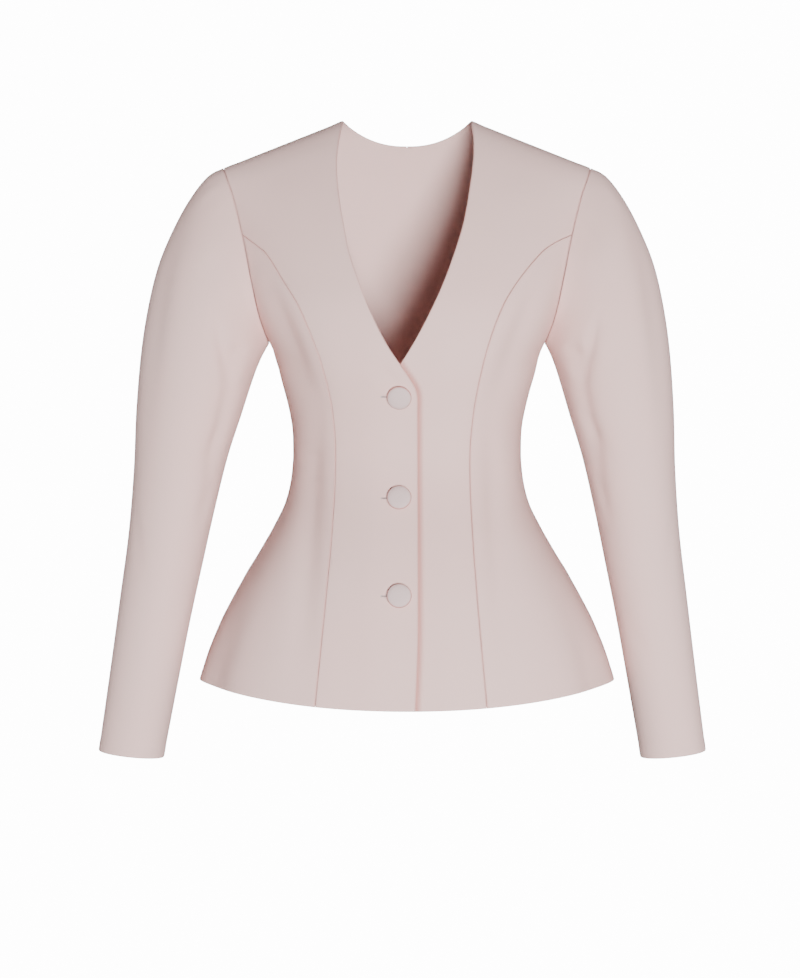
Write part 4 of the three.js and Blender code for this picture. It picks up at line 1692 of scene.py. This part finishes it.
@dataclass(frozen=True)
class Crepe:
    """The finish of the cloth: a matt crepe with a pebbled face and a soft sheen."""

    name: str = "blush_crepe"
    colour: tuple[float, float, float] = (0.8, 0.546, 0.51)
    warm: tuple[float, float, float] = (0.82, 0.542, 0.5)
    cool: tuple[float, float, float] = (0.78, 0.552, 0.52)
    pebble_scale: float = 1150.0
    yarn_pitch: float = 0.00062
    # Painted shade: the darker colour laid along seams and edges, beside the lapped front edge and round the
    # buttons' rims, and how far toward it the colour goes at full strength.
    painted_shading: tuple[float, float, float] = (0.54, 0.24, 0.21)
    painted_shade_depth: float = 0.85
    blotch_scale: float = 7.0
    slub_scale: float = 160.0
    roughness: float = 0.8
    sheen: float = 0.02
    bump: float = 0.35
    bump_height: float = 0.0003
    dim: float = 0.955
    grain: float = 0.5
    pebble_height: float = 0.75
    slub_height: float = 0.2
    yarn_height: float = 0.16
    roughness_spread: float = 0.08
    specular: float = 0.2
    sheen_roughness: float = 0.45
    sheen_tint: tuple[float, float, float] = (1.0, 0.93, 0.92)
    has_cloth_map: bool = True

    def make(self) -> bpy.types.Material:
        """Builds the material.

        Returns:
            The new material.
        """
        tree = ShaderTree(self.name)
        place = tree.out(tree.node("ShaderNodeTexCoord"), "Object")
        blotch = tree.noise(place, self.blotch_scale, 3.0)
        slub = tree.noise(place, self.slub_scale, 2.0)
        pebble = tree.noise(place, self.pebble_scale, 2.0, 0.6)
        tint = tree.mix(blotch, rgba(*self.warm), rgba(*self.cool))
        dim = rgba(*(value * self.dim for value in self.colour))
        grained = tree.mix((slub * 0.5 + pebble * 0.5) * self.grain, tint, dim)
        # Painted shade: darkens the colour by each vertex's stored shade share.
        painted_shading = tree.out(tree.node("ShaderNodeAttribute", {"attribute_name": "painted_shade"}), "Fac")
        colour = tree.mix(painted_shading * self.painted_shade_depth, grained, rgba(*self.painted_shading))
        height = pebble * self.pebble_height + slub * self.slub_height
        if self.has_cloth_map:
            cloth = tree.out(tree.node("ShaderNodeUVMap", {"uv_map": "cloth"}), 0)
            parts = tree.node("ShaderNodeSeparateXYZ", inputs={0: cloth})
            rate = FULL_TURN / self.yarn_pitch
            yarns = (tree.out(parts, 0) * rate).sine() * (tree.out(parts, 1) * rate).sine()
            height = height + yarns * self.yarn_height
        bump = tree.node(
            "ShaderNodeBump", inputs={"Strength": self.bump, "Distance": self.bump_height, "Height": height}
        )
        tree.fill(
            tree.shader,
            {
                "Base Color": colour,
                "Roughness": self.roughness + slub * self.roughness_spread,
                "Specular IOR Level": self.specular,
                "Sheen Weight": self.sheen,
                "Sheen Roughness": self.sheen_roughness,
                "Sheen Tint": rgba(*self.sheen_tint),
                "Normal": tree.out(bump, 0),
            },
        )
        tree.material.diffuse_color = rgba(*self.colour)
        return tree.material


@dataclass(frozen=True)
class Thread:
    """The finish of the buttonhole thread, or of the shadow inside a hole."""

    name: str
    colour: tuple[float, float, float]
    roughness: float = 0.6
    ply_scale: float = 2600.0
    dim: float = 0.86
    bump: float = 0.3
    bump_height: float = 0.0001

    def make(self) -> bpy.types.Material:
        """Builds the material.

        Returns:
            The new material.
        """
        tree = ShaderTree(self.name)
        place = tree.out(tree.node("ShaderNodeTexCoord"), "Object")
        ply = tree.noise(place, self.ply_scale, 1.0)
        dark = rgba(*(value * self.dim for value in self.colour))
        colour = tree.mix(ply, rgba(*self.colour), dark)
        bump = tree.node(
            "ShaderNodeBump", inputs={"Strength": self.bump, "Distance": self.bump_height, "Height": ply}
        )
        tree.fill(
            tree.shader,
            {"Base Color": colour, "Roughness": self.roughness, "Normal": tree.out(bump, 0)},
        )
        return tree.material


@dataclass(frozen=True)
class Lamp:
    """A round soft light that faces the jacket."""

    name: str
    place: tuple[float, float, float]
    size: float
    watts: float

    def build(self, aim: Vector) -> None:
        """Puts the light in its place.

        Args:
            aim: the point that it faces.
        """
        data = bpy.data.lights.new(self.name, "AREA")
        data.shape = "DISK"
        data.size = self.size
        data.energy = self.watts
        lamp = bpy.data.objects.new(self.name, data)
        lamp.location = self.place
        way = aim - Vector(self.place)
        lamp.rotation_euler = way.to_track_quat("-Z", "Y").to_euler()
        bpy.context.scene.collection.objects.link(lamp)


LAMPS = (
    Lamp("key", (0.5, -3.15, -0.75), size=1.0, watts=212.0),
    Lamp("fill", (-0.9, -3.0, 0.1), size=1.4, watts=2.0),
    Lamp("side_right", (3.2, 0.4, -0.1), size=1.6, watts=36.0),
    Lamp("side_left", (-3.2, 0.4, -0.1), size=1.6, watts=56.0),
    Lamp("top", (0.0, 0.3, 2.4), size=1.4, watts=14.0),
    Lamp("under", (0.0, 0.3, -3.0), size=1.2, watts=14.0),
    Lamp("rear", (-0.5, 3.2, 0.3), size=1.6, watts=150.0),
)


@dataclass
class Studio:
    """A pale floor, a plain white room round it, soft lights and the camera."""

    camera_place: tuple[float, float, float] = (-0.0073, -3.0, -0.289)
    aim: tuple[float, float, float] = (-0.0073, 0.0, -0.3817)
    lens: float = 106.2
    sensor: float = 36.0
    floor_height: float = -3.3
    floor_reach: float = 7.0
    room_reach: float = 9.0
    room_steps: int = 64
    white: float = 0.9
    roughness: float = 0.9
    glow: float = 14.0
    surround: float = 0.03
    lamp_aim: tuple[float, float, float] = (0.0, 0.0, -0.35)

    def build(self) -> None:
        """Sets up the whole studio."""
        self._camera()
        self._surroundings()
        self._lights()

    def _camera(self) -> None:
        """Puts the camera at the photograph's view."""
        data = bpy.data.cameras.new("camera")
        data.sensor_fit = "VERTICAL"
        data.sensor_height = self.sensor
        data.lens = self.lens
        camera = bpy.data.objects.new("camera", data)
        camera.location = self.camera_place
        way = Vector(self.aim) - Vector(self.camera_place)
        camera.rotation_euler = way.to_track_quat("-Z", "Y").to_euler()
        bpy.context.scene.collection.objects.link(camera)
        bpy.context.scene.camera = camera

    def _surroundings(self) -> None:
        """Makes the floor and the plain room round it, which cast no light on the jacket."""
        floor = bmesh.new()
        bmesh.ops.create_circle(floor, cap_ends=True, segments=self.room_steps, radius=self.floor_reach)
        bmesh.ops.translate(floor, vec=(0, 0, self.floor_height), verts=floor.verts)
        room = bmesh.new()
        bmesh.ops.create_uvsphere(
            room, u_segments=self.room_steps, v_segments=self.room_steps // 2, radius=self.room_reach
        )
        bmesh.ops.reverse_faces(room, faces=room.faces)
        tree = ShaderTree("studio_white")
        tree.fill(
            tree.shader,
            {
                "Base Color": rgba(self.white, self.white, self.white),
                "Roughness": self.roughness,
                "Emission Color": rgba(1.0, 1.0, 1.0),
                "Emission Strength": self.glow,
            },
        )
        for name, bm in (("studio_floor", floor), ("studio_room", room)):
            for face in bm.faces:
                face.smooth = True
            piece = object_of(name, bm)
            piece.data.materials.append(tree.material)
            piece.visible_diffuse = False
            piece.visible_glossy = False
            piece.visible_shadow = False

    def _lights(self) -> None:
        """Adds the faint light all round and the soft lights."""
        world = bpy.data.worlds.new("studio")
        world.use_nodes = True
        background = world.node_tree.nodes["Background"]
        background.inputs["Color"].default_value = rgba(1.0, 1.0, 1.0)
        background.inputs["Strength"].default_value = self.surround
        bpy.context.scene.world = world
        for lamp in LAMPS:
            lamp.build(Vector(self.lamp_aim))


def dress(piece: bpy.types.Object, material: bpy.types.Material) -> None:
    """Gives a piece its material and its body.

    Args:
        piece: the piece.
        material: its material.
    """
    piece.data.materials.clear()
    piece.data.materials.append(material)
    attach(piece, "root")
    LOG.info("%s: %d faces", piece.name, len(piece.data.polygons))


def build_cloth(pieces: list[Cloth], crepe: bpy.types.Material, has_node: bool = True) -> None:
    """Args:
        pieces: the cut pieces.
        crepe: their material.
        has_node: whether each stands for a node of its own name.
    """
    for cloth in pieces:
        piece = cloth.build()
        piece.name = f"{cloth.name}_cloth"
        dress(piece, crepe)
        if has_node:
            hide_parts(cloth.name)
        width, length, area = cloth.flat_size()
        LOG.info("%s flat: %.3f by %.3f m, area %.4f", cloth.name, width, length, area)


def build_buttons(body: Body) -> None:
    """Builds the buttons and their buttonholes.

    Args:
        body: the jacket's body.
    """
    covered = Crepe(
        name="covered_button",
        colour=(0.62, 0.465, 0.455),
        warm=(0.67, 0.5, 0.485),
        cool=(0.65, 0.505, 0.5),
        has_cloth_map=False,
    ).make()
    thread = Thread("buttonhole_thread", (0.6, 0.47, 0.455)).make()
    # Painted shadow: a near-black colour for the strip inside each hole.
    shadow = Thread("buttonhole_shadow", (0.16, 0.1, 0.095), 0.9).make()
    buttons = Buttons(body)
    holes = Buttonholes(body)
    for name, height in BUTTON_HEIGHTS.items():
        button = buttons.build(f"{name}_cover", height)
        dress(button, covered)
        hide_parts(name)
        place = name.removeprefix("button_")
        dress(holes.build_stitches(f"buttonhole_{place}", height), thread)
        dress(holes.build_slit(f"buttonhole_slit_{place}", height), shadow)


def main() -> None:
    """Builds the studio with its camera, the looks, and the jacket's pieces in order."""
    logging.basicConfig(level=logging.INFO, format="%(name)s: %(message)s")
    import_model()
    Studio().build()
    body = Body()
    crepe = Crepe().make()
    bodice = Bodice(body)
    build_cloth(bodice.cut(), crepe)
    build_cloth(Sleeves(body).cut(), crepe)
    build_cloth(bodice.allowances(), crepe, has_node=False)
    build_buttons(body)


if __name__ == "__main__":
    main()
